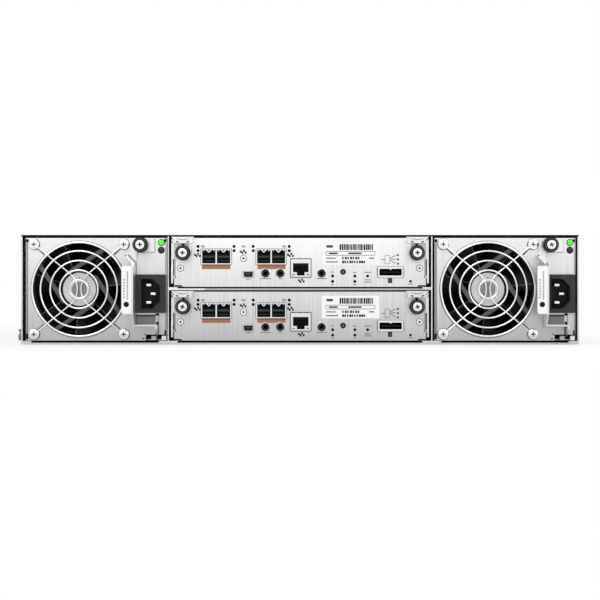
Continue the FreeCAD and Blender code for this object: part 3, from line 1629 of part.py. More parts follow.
os.makedirs("parts", exist_ok=True)
for node in nodes:
    node.Shape.exportStep(f"parts/{node.Label}.step")
    print(f"{node.Label}: {len(node.Shape.Solids)} solids, {node.Shape.Volume / 1000:.1f} cm3")
print(f"{len(nodes)} sub-parts")
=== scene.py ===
import math

import bmesh
import bpy
import numpy as np
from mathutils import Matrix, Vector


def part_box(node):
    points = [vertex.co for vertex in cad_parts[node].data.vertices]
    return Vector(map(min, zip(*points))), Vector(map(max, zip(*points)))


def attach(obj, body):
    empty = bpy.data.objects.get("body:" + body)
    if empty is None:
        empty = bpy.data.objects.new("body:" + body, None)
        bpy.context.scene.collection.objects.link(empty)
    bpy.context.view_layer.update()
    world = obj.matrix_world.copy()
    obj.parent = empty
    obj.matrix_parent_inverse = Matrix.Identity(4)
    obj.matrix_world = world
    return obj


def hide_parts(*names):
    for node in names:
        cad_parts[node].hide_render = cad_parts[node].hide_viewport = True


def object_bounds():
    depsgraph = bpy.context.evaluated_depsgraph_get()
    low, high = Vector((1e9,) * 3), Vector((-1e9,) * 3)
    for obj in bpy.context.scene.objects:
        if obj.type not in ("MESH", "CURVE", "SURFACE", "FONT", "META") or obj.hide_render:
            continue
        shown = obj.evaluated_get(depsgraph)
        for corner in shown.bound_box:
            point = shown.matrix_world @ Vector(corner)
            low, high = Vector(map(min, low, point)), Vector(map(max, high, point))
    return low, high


# %% [markdown]
# # Disk shelf enclosure
# A 2U disk shelf seen from behind: two power supplies, two controllers one above the
# other, and the drive bays on the far side. The CAD model is loaded as a frame that
# already has the true sizes and joints, so nothing here moves it. The pieces below dress
# it, and each rides on the body that carries it, so it follows when that body slides or
# turns. Lengths in the drawings are in millimetres.

# %% Disk shelf enclosure
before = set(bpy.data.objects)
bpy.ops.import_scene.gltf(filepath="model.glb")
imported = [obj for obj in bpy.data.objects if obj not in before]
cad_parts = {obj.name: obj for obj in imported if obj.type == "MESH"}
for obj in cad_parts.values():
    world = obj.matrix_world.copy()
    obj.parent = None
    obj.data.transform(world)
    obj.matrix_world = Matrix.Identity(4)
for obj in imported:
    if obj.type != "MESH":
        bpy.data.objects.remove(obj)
cad_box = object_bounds()
MM = 0.001
SIDES = ("left", "right")
LEVELS = ("lower", "upper")

# %% [markdown]
# ## Camera
# The real shelf is shown square on. A short lens close by would bend it, so the camera
# stands 1.17 m from the nearest part with a long lens, at the height of the middle of
# the rear face. The Standard view keeps white sheet metal white.

# %% Camera
STAND_OFF, EYE_UP = 1.168, 0.0352
camera = bpy.data.objects.new("camera", bpy.data.cameras.new("camera"))
bpy.context.scene.collection.objects.link(camera)
camera.location = (0, cad_box[0][1] - STAND_OFF, EYE_UP)
camera.rotation_euler = (math.pi / 2, 0, 0)
camera.data.lens = 89.6
camera.data.clip_end = 30
bpy.context.scene.camera = camera
bpy.context.scene.view_settings.view_transform = "Standard"
print("camera at", tuple(round(v, 3) for v in camera.location))

# %% [markdown]
# ## Building node trees
# Materials here are small trees of nodes. They could be drawn by hand in the shader
# editor, but helpers that make and join a node in one call keep each tree to a few
# readable lines.

# %% Building node trees
def node_group(name, inputs, outputs):
    """A new shader group with its sockets, its input node and its output node."""
    group = bpy.data.node_groups.new(name, "ShaderNodeTree")
    for label, kind, value in inputs:
        socket = group.interface.new_socket(label, in_out="INPUT", socket_type=kind)
        socket.default_value = value
    for label, kind in outputs:
        group.interface.new_socket(label, in_out="OUTPUT", socket_type=kind)
    return group, group.nodes.new("NodeGroupInput"), group.nodes.new("NodeGroupOutput")


def fill(tree, node, *inputs, **values):
    """Fills in a node: its inputs in order, then properties and inputs by name, with an
    underscore for a space. The output of another node is linked to the input instead."""
    settings = [(node.inputs[index], value) for index, value in enumerate(inputs)]
    for name, value in values.items():
        if hasattr(node, name):
            setattr(node, name, value)
        else:
            settings.append((node.inputs[name.replace("_", " ")], value))
    for socket, value in settings:
        if isinstance(value, bpy.types.NodeSocket):
            tree.links.new(value, socket)
        else:
            socket.default_value = value
    return node


def add_node(tree, kind, *inputs, **values):
    """A new node, filled in."""
    return fill(tree, tree.nodes.new("ShaderNode" + kind), *inputs, **values)


def colour(value):
    """Red, green, blue and full cover, from a triple or from one level of grey."""
    return (*value, 1) if isinstance(value, tuple) else (value, value, value, 1)


def new_material(name):
    """A material with its tree and its Principled shader."""
    material = bpy.data.materials.new(name)
    material.use_nodes = True
    return material, material.node_tree, material.node_tree.nodes["Principled BSDF"]


print("a mid grey:", colour(0.5))

# %% [markdown]
# ## Sheet metal effect
# The faces of the modules are brushed upright, which leaves fine streaks. A picture
# could show them, but noise stretched along one axis needs no file and never repeats.
# The group also gives large soft clouds, as handling leaves, and the height above the
# floor, which the metals use for a painted highlight that grows towards the top, as
# metal that mirrors a brighter room there would show.

# %% Sheet metal effect
COVER_UP = 0.087


def brushed_group():
    """Sheet metal. Streak: noise stretched along the brushing. Cloud: large soft patches.
    Rise: 0 at the floor to 1 at the cover, for a painted highlight towards the top.
    Normal: the streaks as a fine bump."""
    group, given, result = node_group("brushed", [
        ("Scale", "NodeSocketVector", (1800, 1800, 14)),
        ("Bump", "NodeSocketFloat", 0.1),
    ], [
        ("Streak", "NodeSocketFloat"), ("Cloud", "NodeSocketFloat"),
        ("Rise", "NodeSocketFloat"), ("Normal", "NodeSocketVector"),
    ])
    place = add_node(group, "TexCoord").outputs["Object"]
    stretched = add_node(group, "VectorMath", place, given.outputs["Scale"],
                         operation="MULTIPLY")
    streak = add_node(group, "TexNoise", Vector=stretched.outputs[0], Scale=1.0, Detail=5.0,
                      Roughness=0.62).outputs["Fac"]
    cloud = add_node(group, "TexNoise", Vector=place, Scale=22.0, Detail=2.0)
    split = add_node(group, "SeparateXYZ", place)
    rise = add_node(group, "MapRange", Value=split.outputs["Z"], From_Max=COVER_UP)
    bump = add_node(group, "Bump", Strength=given.outputs["Bump"], Distance=0.00008,
                    Height=streak)
    fill(group, result, Streak=streak, Cloud=cloud.outputs["Fac"],
         Rise=rise.outputs["Result"], Normal=bump.outputs["Normal"])
    return group


BRUSHED = brushed_group()
print("brushed sockets:", [socket.name for socket in BRUSHED.interface.items_tree])

# %% [markdown]
# ## Moulding effect
# Plastic, rubber and paper are never one flat colour. The group mottles the colour
# softly and adds a spark grain as a fine bump, like the texture of a mould.

# %% Moulding effect
def moulded_group():
    """A moulding. Mottle: faint uneven colour. Grain: fine spark texture. Normal: the grain."""
    group, given, result = node_group("moulded", [
        ("Grain Scale", "NodeSocketFloat", 2600.0), ("Bump", "NodeSocketFloat", 0.25),
    ], [
        ("Mottle", "NodeSocketFloat"), ("Grain", "NodeSocketFloat"),
        ("Normal", "NodeSocketVector"),
    ])
    place = add_node(group, "TexCoord").outputs["Object"]
    mottle = add_node(group, "TexNoise", Vector=place, Scale=90.0, Detail=3.0)
    grain = add_node(group, "TexNoise", Vector=place, Scale=given.outputs["Grain Scale"],
                     Detail=2.0).outputs["Fac"]
    bump = add_node(group, "Bump", Strength=given.outputs["Bump"], Distance=0.00006,
                    Height=grain)
    fill(group, result, Mottle=mottle.outputs["Fac"], Grain=grain,
         Normal=bump.outputs["Normal"])
    return group


MOULDED = moulded_group()
print("moulded sockets:", [socket.name for socket in MOULDED.interface.items_tree])

# %% [markdown]
# ## From effect to material
# Each material is a Principled shader fed by one of the two effects. A dark and a light
# colour are given, and the effect's masks choose a point between them, so the same few
# lines make steel, gold, rubber or paper.

# %% From effect to material
def surface(name, effect, settings, weights, colours, rough, fine, finish):
    """A material fed by an effect. The masks, each times its weight, are added up and
    choose a colour between dark and light; the fine mask alone chooses the roughness."""
    material, tree, shader = new_material(name)
    masks = add_node(tree, "Group", node_tree=effect, **settings).outputs
    tone = 0.0
    for label, weight in weights.items():
        tone = add_node(tree, "Math", masks[label], weight, tone, operation="MULTIPLY_ADD",
                        use_clamp=True).outputs[0]
    dark, light = map(colour, colours)
    mix = add_node(tree, "Mix", data_type="RGBA", Factor=tone, A=dark, B=light)
    spread = add_node(tree, "MapRange", Value=masks[fine], To_Min=rough[0], To_Max=rough[1])
    fill(tree, shader, Base_Color=mix.outputs["Result"],
         Roughness=spread.outputs["Result"], Normal=masks["Normal"], **finish)
    return material


def metal(name, dark, light, rough=(0.3, 0.45), scale=(1800, 1800, 14), bump=0.1,
          weights=(0.5, 0.25, 0.4), metallic=1.0):
    """Sheet or turned metal: its colour follows the streaks, the clouds and the height, which
    lightens it towards the top as a painted highlight, and its roughness the streaks."""
    weights = dict(zip(("Streak", "Cloud", "Rise"), weights))
    scale = scale if isinstance(scale, tuple) else (scale,) * 3
    return surface(name, BRUSHED, {"Scale": scale, "Bump": bump}, weights, (dark, light),
                   rough, "Streak", {"Metallic": metallic})


def moulding(name, dark, light, rough=(0.4, 0.6), grain=2600.0, bump=0.25, glow=0.0,
             shine=0.3):
    """Plastic, rubber, paint or paper: a mottled colour under a fine grain, lit from
    inside if glow is given."""
    finish = {"Specular_IOR_Level": shine}
    if glow:
        finish |= {"Emission_Color": colour(light), "Emission_Strength": glow}
    return surface(name, MOULDED, {"Grain_Scale": grain, "Bump": bump},
                   {"Mottle": 0.7, "Grain": 0.3}, (dark, light), rough, "Grain", finish)


print("material makers:", metal.__name__, moulding.__name__)

# %% [markdown]
# ## Metals
# The module faces are brushed upright, the cover and the tray along the shelf. The
# scale says how fine the streaks are on each axis: a large number squeezes them, a
# small one draws them out, and a single number does the same on all three.

# %% Metals
# The third weight sets how strongly the painted highlight grows towards the top.
UPRIGHT = {"scale": (1100, 300, 12), "bump": 0.16, "weights": (0.55, 0.2, 0.6)}
FACE = metal("module_face", 0.225, 0.91, **UPRIGHT)
SUPPLY = metal("supply_face", 0.20, 0.83, **UPRIGHT)
LATCH = metal("latch_sheet", 0.52, 0.93, rough=(0.28, 0.42), scale=(1500, 1500, 40))
TRAY = metal("chassis_sheet", 0.42, 0.80, scale=(40, 22, 1500), bump=0.12)
COVER = metal("cover_sheet", 0.50, 0.78, scale=(1500, 16, 900), bump=0.12)
INNER = metal("inner_sheet", 0.30, 0.62, scale=(60, 24, 900), rough=(0.4, 0.55))
# The plated wire colour also makes a painted highlight on the fold of the supply latch.
WIRE_AND_HIGHLIGHT = metal("plated_wire_and_highlight", 0.78, 0.97, rough=(0.22, 0.34), scale=300, bump=0.03)
SCREW = metal("plated_screw", 0.72, 0.95, rough=(0.2, 0.32), scale=900, bump=0.05)
# The two recess colours are painted shade in the hollows of the plated screws.
RECESS_SHADE = metal("screw_recess_shade", 0.02, 0.07, rough=(0.5, 0.7), scale=900)
SOFT_RECESS_SHADE = metal("bright_recess_shade", 0.10, 0.26, rough=(0.5, 0.7), scale=900, metallic=0.6)
# A painted shadow colour, laid under the mains inlet of the supplies.
PAINTED_SHADOW = metal("painted_shadow_sheet", 0.10, 0.30, rough=(0.45, 0.6), scale=(1200, 300, 9))
PLATE = metal("latch_plate", 0.34, 0.62, rough=(0.34, 0.46), scale=(2300, 300, 9), bump=0.12)
# The dull edge colour also makes a crescent of painted shade on the controller latches.
DULL_AND_SHADE = metal("dull_edge_and_shade", 0.16, 0.34, rough=(0.4, 0.55), scale=(300, 300, 40))
SHELL = metal("port_shell", 0.62, 0.92, rough=(0.24, 0.36), scale=(900, 200, 60), bump=0.06)
GOLD = metal("contact_gold", (0.045, 0.030, 0.010), (0.085, 0.058, 0.022),
             rough=(0.3, 0.4), scale=800)
COPPER = metal("gasket_copper", (0.28, 0.115, 0.065), (0.41, 0.18, 0.11), rough=(0.45, 0.6),
               scale=700, metallic=0.35)
print("metals:", len(bpy.data.materials))

# %% [markdown]
# ## Mouldings, inks and lamps
# The deep openings look black because little light comes back out of them, so their
# linings are nearly black and hardly shine. The lit lamp glows a little by itself.

# %% Mouldings, inks and lamps
# The sheen grey is painted sheen on the host port shutters and the plain dark grey floor of the
# mains inlet.
SHEEN_AND_DARK_GREY = moulding("port_sheen_and_dark_grey", 0.030, 0.055, rough=(0.4, 0.55), shine=0.1)
BLACK = moulding("black_moulding", 0.004, 0.010, rough=(0.4, 0.55), shine=0.12)
# The port dark is also painted shade in the gaps by the shelf and on the cover's joint.
PITCH_AND_SHADE = moulding("port_dark_and_shade", 0.002, 0.005, rough=(0.5, 0.7), shine=0.04)
STRUT = moulding("fan_struts", 0.08, 0.13, rough=(0.5, 0.65), shine=0.2)
BLADE = moulding("fan_blades", 0.004, 0.010, rough=(0.35, 0.5), shine=0.2)
# The blade edge grey is a painted highlight on the rear edges of the blades.
BLADE_EDGE_HIGHLIGHT = moulding("blade_edge_highlight", 0.11, 0.17, rough=(0.5, 0.65), shine=0.2)
HUB = moulding("hub_plate", 0.58, 0.70, rough=(0.4, 0.5), shine=0.25)
# The sign ink also draws painted shadow lines round parts.
SIGN_INK_AND_SHADE = moulding("sign_ink_and_shade", 0.045, 0.085, rough=(0.6, 0.7), bump=0.05, shine=0.05)
SOCKET = moulding("inlet_moulding", 0.028, 0.044, rough=(0.5, 0.62), shine=0.15)
RUBBER = moulding("knob_rubber", 0.005, 0.014, rough=(0.45, 0.6), shine=0.15)
# The groove grey is also a painted highlight on the rims of the knobs.
GROOVE_AND_HIGHLIGHT = moulding("knob_groove_and_highlight", 0.08, 0.16, rough=(0.4, 0.5))
PAPER = moulding("label_paper", 0.80, 0.90, rough=(0.55, 0.7), bump=0.08)
INK = moulding("label_ink", 0.006, 0.020, rough=(0.6, 0.7), bump=0.05, shine=0.05)
# The faint ink also draws faint painted shadow lines.
FAINT_INK_AND_SHADE = moulding("faint_ink_and_shade", 0.13, 0.24, rough=(0.6, 0.7), bump=0.05, shine=0.1)
GREEN = moulding("lamp_lit", (0.05, 0.60, 0.02), (0.10, 0.85, 0.05),
                 rough=(0.15, 0.25), glow=0.55)
DARK_LENS = moulding("lamp_dark", 0.010, 0.040, rough=(0.12, 0.2), bump=0.05)
LENS = moulding("lamp_window", 0.60, 0.78, rough=(0.2, 0.3), bump=0.05)
BOARD = moulding("board_green", (0.010, 0.090, 0.035), (0.020, 0.150, 0.060),
                 rough=(0.3, 0.45), grain=900.0)
DARK_BOARD = moulding("board_dark", (0.003, 0.008, 0.005), (0.006, 0.016, 0.009),
                      rough=(0.5, 0.6), grain=900.0)
CARRIER = moulding("carrier_grey", 0.085, 0.13, rough=(0.45, 0.6))
LEVER = moulding("lever_plastic", 0.020, 0.045, rough=(0.4, 0.52))
BLANK = moulding("blank_plastic", 0.075, 0.11, rough=(0.48, 0.62))
CAP = moulding("cap_plastic", 0.045, 0.075, rough=(0.42, 0.55))
TOUCH = moulding("touch_point", (0.20, 0.020, 0.012), (0.34, 0.035, 0.02), rough=(0.35, 0.5))
print("materials:", len(bpy.data.materials))

# %% [markdown]
# ## Sheets that change with the way they face
# The cut edge of the cover is in the shade of its lip, so it gets a painted shade, and
# sheet that faces up gets a painted shade too, or it would burn out under the lamps.
# Painting faces by hand would be lost when the CAD changes, so the material itself
# darkens by the direction that the surface faces. The grey specular tint keeps dull sheet
# from turning into a mirror when it is seen at a glancing angle.

# %% Sheets that change with the way they face
def paint_shade_by_facing(material, axis, start, full, share):
    """Painted shade: multiplies the colour by a share where the surface faces along an axis.
    The effect begins where that part of the normal passes start and is full where it
    passes full."""
    tree = material.node_tree
    shader = tree.nodes["Principled BSDF"]
    facing = add_node(tree, "NewGeometry")
    split = add_node(tree, "SeparateXYZ", facing.outputs["Normal"])
    mask = add_node(tree, "MapRange", Value=split.outputs[axis], From_Min=start,
                    From_Max=full)
    painted = shader.inputs["Base Color"].links[0].from_socket
    mix = add_node(tree, "Mix", data_type="RGBA", blend_type="MULTIPLY",
                   Factor=mask.outputs["Result"], A=painted, B=colour(share))
    fill(tree, shader, Base_Color=mix.outputs["Result"])
    return tree, shader


# Painted shade: the cover's edge that faces the rear is darkened almost to black.
paint_shade_by_facing(COVER, "Y", -0.15, -0.5, 0.006)
# Painted shade: sheet that faces up is darkened to these shares.
facing_up = {COVER: 0.42, TRAY: 0.5, FACE: 0.36, SUPPLY: 0.4}
for sheet, share in facing_up.items():
    fill(*paint_shade_by_facing(sheet, "Z", 0.5, 0.9, share), Specular_Tint=colour(0.5))
print("darkened by facing:", [sheet.name for sheet in facing_up])

# %% [markdown]
# ## Flat and square shapes
# Every shape is worked out as arrays of points and the faces between them. Most small
# parts of a shelf are sheet or bar, so an outline pushed along an axis makes them, and
# a rim carried round a rounded rectangle makes the surrounds of the ports.

# %% Flat and square shapes
def grid_faces(rows, columns):
    """Quads between the points of a grid kept row by row; the columns close in a ring."""
    row = np.arange(rows - 1)[:, None]
    column = np.arange(columns)[None, :]
    after = (column + 1) % columns
    corners = (row * columns + column, row * columns + after,
               (row + 1) * columns + after, (row + 1) * columns + column)
    return np.stack(np.broadcast_arrays(*corners), -1).reshape(-1, 4)


def prism(outline, low, high, material, axis="y"):
    """An outline pushed along an axis from low to high, with a face at each end."""
    outline = np.array(outline, float)
    count = len(outline)
    ends = [np.insert(outline, "xyz".index(axis), level, axis=1) for level in (low, high)]
    ring = np.arange(count)
    after = (ring + 1) % count
    sides = np.stack([ring, after, after + count, ring + count], -1)
    caps = np.stack([ring[::-1], ring + count])
    return np.concatenate(ends), (sides, caps), material


def slab(x, y, z, material):
    """A block between a low and a high place on each axis."""
    outline = [(x[0], z[0]), (x[1], z[0]), (x[1], z[1]), (x[0], z[1])]
    return prism(outline, y[0], y[1], material)


def rounded(x, z, radius, steps=6):
    """The outline of a rectangle with round corners: a quarter circle about the centre of
    each corner."""
    turn = np.linspace(0, np.pi / 2, steps)
    corners = []
    for index, (cx, cz) in enumerate(((x[1], z[1]), (x[0], z[1]), (x[0], z[0]), (x[1], z[0]))):
        angle = turn + index * np.pi / 2
        inward = (np.sign(sum(x) / 2 - cx), np.sign(sum(z) / 2 - cz))
        corners.append(np.stack([cx + inward[0] * radius + radius * np.cos(angle),
                                 cz + inward[1] * radius + radius * np.sin(angle)], -1))
    return np.concatenate(corners)


def plate(x, z, radius, low, high, material):
    """A rectangle with round corners, from low to high along Y."""
    return prism(rounded(x, z, radius), low, high, material)


def blocks(rows, y, material):
    """Blocks of one thickness and material, from rows of left, right, low and high."""
    return [slab(row[:2], y, row[2:], material) for row in rows]


def framed(x, z, radius, wide, low, high, material):
    """A flat rim of even width around a rounded rectangle, from low to high along Y: its
    section is a square loop, carried around the outline."""
    outer = rounded((x[0] - wide, x[1] + wide), (z[0] - wide, z[1] + wide), radius + wide)
    inner = rounded(x, z, radius)
    loops = [np.insert(edge, 1, level, axis=1) for edge, level in
             ((inner, high), (inner, low), (outer, low), (outer, high), (inner, high))]
    return np.concatenate(loops), grid_faces(5, len(inner)), material


sides, caps = slab((0, 1), (0, 1), (0, 1), None)[1]
print("faces in a block:", len(sides) + len(caps))
print("faces in a rim:", len(framed((0, 1), (0, 1), 0.1, 0.1, 0, 1, None)[1]))

# %% [markdown]
# ## Turned shapes and wires
# Knobs, lamps and jacks are turned parts: a profile swept round an axis. The guard is
# bent wire: a circle carried along a path. Both are grids of points, so numpy makes
# each in one go.

# %% Turned shapes and wires
def lathed(profile, x, z, material, segments=48, teeth=0):
    """(radius, y, knurl) points turned about an axis along Y: at each angle the radius is
    the profile's radius plus the knurl depth times the cosine of teeth times the angle."""
    profile = np.array([(*row, 0.0)[:3] for row in profile])
    angle = np.linspace(0, 2 * np.pi, segments, endpoint=False)
    radius = profile[:, :1] + profile[:, 2:] * np.cos(teeth * angle)
    depth = profile[:, 1:2] + 0 * angle
    points = np.stack([x + radius * np.cos(angle), depth, z + radius * np.sin(angle)], -1)
    return points.reshape(-1, 3), grid_faces(len(profile), segments), material


def tube(path, radius, material, sides=12, closed=False):
    """A round wire along a path in the plane of the face: each point carries a circle that
    stands across the path, spanned by the Y axis and the direction across both."""
    path = np.array(path, float)
    run = np.roll(path, -1, 0) - np.roll(path, 1, 0) if closed else np.gradient(path, axis=0)
    run /= np.linalg.norm(run, axis=1, keepdims=True)
    aside = np.cross(run, (0, 1, 0))
    aside /= np.linalg.norm(aside, axis=1, keepdims=True)
    up = np.cross(aside, run)
    angle = np.linspace(0, 2 * np.pi, sides, endpoint=False)[:, None, None]
    circles = path + radius * (np.cos(angle) * aside + np.sin(angle) * up)
    points = circles.transpose(1, 0, 2)
    if closed:
        points = np.concatenate([points, points[:1]])
    faces = [grid_faces(len(points), sides)]
    if not closed:
        last = np.arange(sides) + (len(points) - 1) * sides
        faces.append(np.stack([np.arange(sides)[::-1], last]))
    return points.reshape(-1, 3), tuple(faces), material


def ring_path(radius, x, y, z, count=96):
    """Points evenly round a circle that faces the rear."""
    angle = np.linspace(0, 2 * np.pi, count, endpoint=False)
    return np.stack([x + radius * np.cos(angle), y + 0 * angle, z + radius * np.sin(angle)], -1)


print("a wire ring has", len(tube(ring_path(1, 0, 0, 0), 0.1, None, closed=True)[0]), "points")

# %% [markdown]
# ## Screw heads
# A pan head is a shallow dome with a cross pressed into it. Cutting the cross with a
# boolean would leave ragged faces, so a fine disc is pressed in by a formula instead,
# and the faces at the bottom take a dark colour as painted shade.

# %% Screw heads
def cross_head(x, z, radius, front, depth, material, turn=0.0, crown=0.35, reach=0.6,
               bar=0.15, recess=RECESS_SHADE):
    """A screw head facing the rear. Rings of points grow from the middle to the rim; their
    depth sinks with the square of the radius, and by a Phillips recess: two crossing bars
    with soft sides. The last ring drops to the face. Faces in the recess take a dark
    colour as painted shade."""
    rows, segments = 20, 64
    angle = np.linspace(0, 2 * np.pi, segments, endpoint=False)
    ring = radius * np.linspace(0, 1, rows)[:, None]
    px, pz = ring * np.cos(angle), ring * np.sin(angle)
    u = px * math.cos(turn) + pz * math.sin(turn)
    v = pz * math.cos(turn) - px * math.sin(turn)
    bars = [np.clip((radius * bar - abs(a)) / 0.2 + 0.5, 0, 1)
            * np.clip((radius * reach - abs(b)) / 0.3 + 0.5, 0, 1) for a, b in ((u, v), (v, u))]
    mask = np.maximum(*bars)
    depths = front + crown * depth * (ring / radius) ** 2 + 0.7 * depth * mask
    points = np.stack([x + px, depths, z + pz], -1)
    rim = points[-1:].copy()
    rim[..., 1] = front + depth
    points = np.concatenate([points, rim]).reshape(-1, 3)
    faces = grid_faces(rows + 1, segments)
    deep = np.append(mask.ravel(), np.zeros(segments))[faces].mean(1) > 0.45
    return [(points, faces[~deep], material), (points, faces[deep], recess)]


sample = cross_head(0, 0, 4, 0, 1, SCREW)
print("faces in a screw head:", sum(len(faces) for _, faces, _ in sample))

# %% [markdown]
# ## Gathering shapes into pieces
# A piece is one mesh made of many shapes, each with its own material. Doubled points
# are merged and the faces are turned outwards, because a mirrored shape arrives inside
# out. The CAD parts keep their mesh and get a material and narrow eased edges, which
# catch the light as real sheet does.

# %% Gathering shapes into pieces
made = []


def shifted(shapes, x, y, z):
    """The same shapes at another place."""
    return [(points + (x, y, z), faces, material) for points, faces, material in shapes]


def mirrored(shapes):
    """The same shapes on the other side of X = 0."""
    return [(points * (-1, 1, 1), faces, material) for points, faces, material in shapes]


def shade(mesh):
    """Smooth shading, broken where faces meet at more than 35 degrees."""
    mesh.shade_smooth()
    mesh.set_sharp_from_angle(angle=math.radians(35))


def ease(item, width):
    """A narrow rounded edge wherever faces meet sharply; width in millimetres. The large
    faces then keep their own direction, so that flat sheet is lit as flat sheet."""
    weld = item.modifiers.new("weld", "WELD")
    weld.merge_threshold = 0.000002
    bevel = item.modifiers.new("eased_edges", "BEVEL")
    bevel.width = width * MM
    bevel.segments = 2
    bevel.limit_method = "ANGLE"
    bevel.angle_limit = math.radians(40)
    bevel.use_clamp_overlap = True
    flat = item.modifiers.new("flat_faces", "WEIGHTED_NORMAL")
    flat.keep_sharp = True


def piece(name, body, shapes, replaces=(), edge=0.0):
    """One mesh object made of shapes, which rides on a body."""
    points, faces, numbers, palette = [], [], [], []
    base = 0
    for shape_points, shape_faces, material in shapes:
        if material not in palette:
            palette.append(material)
        for block in shape_faces if isinstance(shape_faces, tuple) else (shape_faces,):
            faces += (block + base).tolist()
            numbers += [palette.index(material)] * len(block)
        points.append(shape_points)
        base += len(shape_points)
    mesh = bpy.data.meshes.new(name)
    mesh.from_pydata((np.concatenate(points) * MM).tolist(), [], faces)
    for material in palette:
        mesh.materials.append(material)
    mesh.polygons.foreach_set("material_index", numbers)
    tidy = bmesh.new()
    tidy.from_mesh(mesh)
    bmesh.ops.remove_doubles(tidy, verts=tidy.verts, dist=0.0000005)
    bmesh.ops.delete(tidy, geom=[v for v in tidy.verts if not v.link_faces], context="VERTS")
    bmesh.ops.recalc_face_normals(tidy, faces=tidy.faces)
    tidy.to_mesh(mesh)
    tidy.free()
    shade(mesh)
    item = bpy.data.objects.new(name, mesh)
    bpy.context.scene.collection.objects.link(item)
    if edge:
        ease(item, edge)
    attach(item, body)
    if replaces:
        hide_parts(*replaces)
    made.append((name, len(mesh.polygons)))


def dress(node, material, edge=0.0):
    """A CAD part shown as it is, in its material and with eased edges."""
    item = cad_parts[node]
    item.data.materials.clear()
    item.data.materials.append(material)
    shade(item.data)
    if edge:
        ease(item, edge)


def spot(node, x="mid", y="low", z="low"):
    """A place on a CAD part's box in millimetres: its low side, middle or high side on
    each axis."""
    low, high = (np.array(corner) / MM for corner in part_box(node))
    choice = {"low": low, "mid": (low + high) / 2, "high": high}
    return np.array([choice[word][axis] for axis, word in enumerate((x, y, z))])


print("rear face of the modules at Y =", round(spot("psu_case_left")[1], 2), "mm")

# %% [markdown]
# ## Chassis
# The tray, its cover, the dividers, the cage and the ears are bent sheet that the CAD
# already has in full, so they are only dressed. The edges are eased by a bevel of a few
# tenths, about what a press leaves.

# %% Chassis
SHEET_EDGE, CASE_EDGE, LATCH_EDGE = 0.15, 0.18, 0.22
dress("chassis_tray", TRAY, SHEET_EDGE)
dress("top_cover", COVER, SHEET_EDGE)
dress("module_bay_dividers", LATCH, SHEET_EDGE)
dress("drive_cage", INNER)
dress("midplane_board", BOARD)
dress("rack_ears", TRAY, 0.2)
dress("ear_caps", CAP, 0.5)
print("dressed 7 chassis parts")

# %% [markdown]
# ### Cover screws
# Six screws in the side walls hold the cover. They are drawn as heads that face the
# rear and then laid over to face sideways by exchanging two columns of the array.

# %% Cover screws
def side_screws():
    """Pan heads on the side walls: each is made facing the rear and then turned to face
    along X."""
    heads = []
    up = spot("cover_screws", z="mid")[2]
    low, high = (spot("cover_screws", y=word)[1] for word in ("low", "high"))
    wall = spot("chassis_tray", x="high")[0]
    for y in np.linspace(low + 3.0, high - 3.0, 3):
        for points, faces, material in cross_head(0, 0, 3.0, -0.8, 0.9, SCREW):
            facing = np.stack([wall - points[:, 1] - 0.02, y + points[:, 0],
                               up + points[:, 2]], -1)
            heads.append((facing, faces, material))
    return heads


right_heads = side_screws()
piece("cover_screw_heads", "shelf", right_heads + mirrored(right_heads),
      ["cover_screws"])
print("cover screws:", made[-1])

# %% [markdown]
# ### Edges of the shelf
# Between the controllers runs a thin shelf: bright at its left end, duller beyond, with
# a dark strip of painted shade in the gap above and below it. Strips a tenth of a
# millimetre proud show this without touching the CAD sheet. Dark rings of painted shade
# outline the rail pin.

# %% Edges of the shelf
def rear_edges():
    """Thin strips on the rear edges of the shelf: the bright end of the shelf between the
    controllers, a dark strip of painted shade in the gap above and below it, and a painted
    shadow line at the cover's joint across its top."""
    rear = spot("module_bay_dividers")[1]
    joint = spot("midplane_board")[1]
    return [
        slab((-104.4, -76.0), (rear - 0.12, rear), (43.1, 44.4), WIRE_AND_HIGHLIGHT),
        slab((-75.6, 104.4), (rear - 0.12, rear), (43.15, 44.35), INNER),
        # A painted shadow line across the top of the cover at its joint.
        slab((-221.9, 221.9), (joint - 0.25, joint + 0.25), (86.985, 87.0), PITCH_AND_SHADE),
    # Painted shade: dark strips in the gaps above and below the shelf.
    ] + blocks([(-99.0, 99.0, 41.95, 43.05), (-99.0, 99.0, 44.45, 45.55)],
               (rear + 1.2, rear + 3.2), PITCH_AND_SHADE)


PIN_IN, PIN_UP = 14.0, 7.2


def pin_shade_rings():
    """Dark rings of painted shade on the rim of the rail pin's cap, round its neck and at the
    wall. Each is a wire round the pin's axis, which lies along X."""
    out, rear, foot = spot("chassis_tray", x="low")
    turn = np.linspace(0, 2 * np.pi, 41)[:-1]
    rings = []
    for along, radius, wire in ((1.25, 4.5, 0.18), (2.2, 3.2, 0.35), (3.05, 4.1, 0.18),
                                (4.2, 4.2, 0.25)):
        path = np.stack([out + along + 0 * turn, rear + PIN_IN + radius * np.cos(turn),
                         foot + PIN_UP + radius * np.sin(turn)], -1)
        rings.append(tube(path, wire, SIGN_INK_AND_SHADE, 8, closed=True))
    return rings


piece("shelf_edges", "shelf", rear_edges() + pin_shade_rings())
print("shelf edges:", made[-1])

# %% [markdown]
# ## Power supplies
# Both supplies are alike, so each thing is drawn once, with X from the middle of the
# fan, Y from the rear face and Z from the underside of the case, and set down twice.

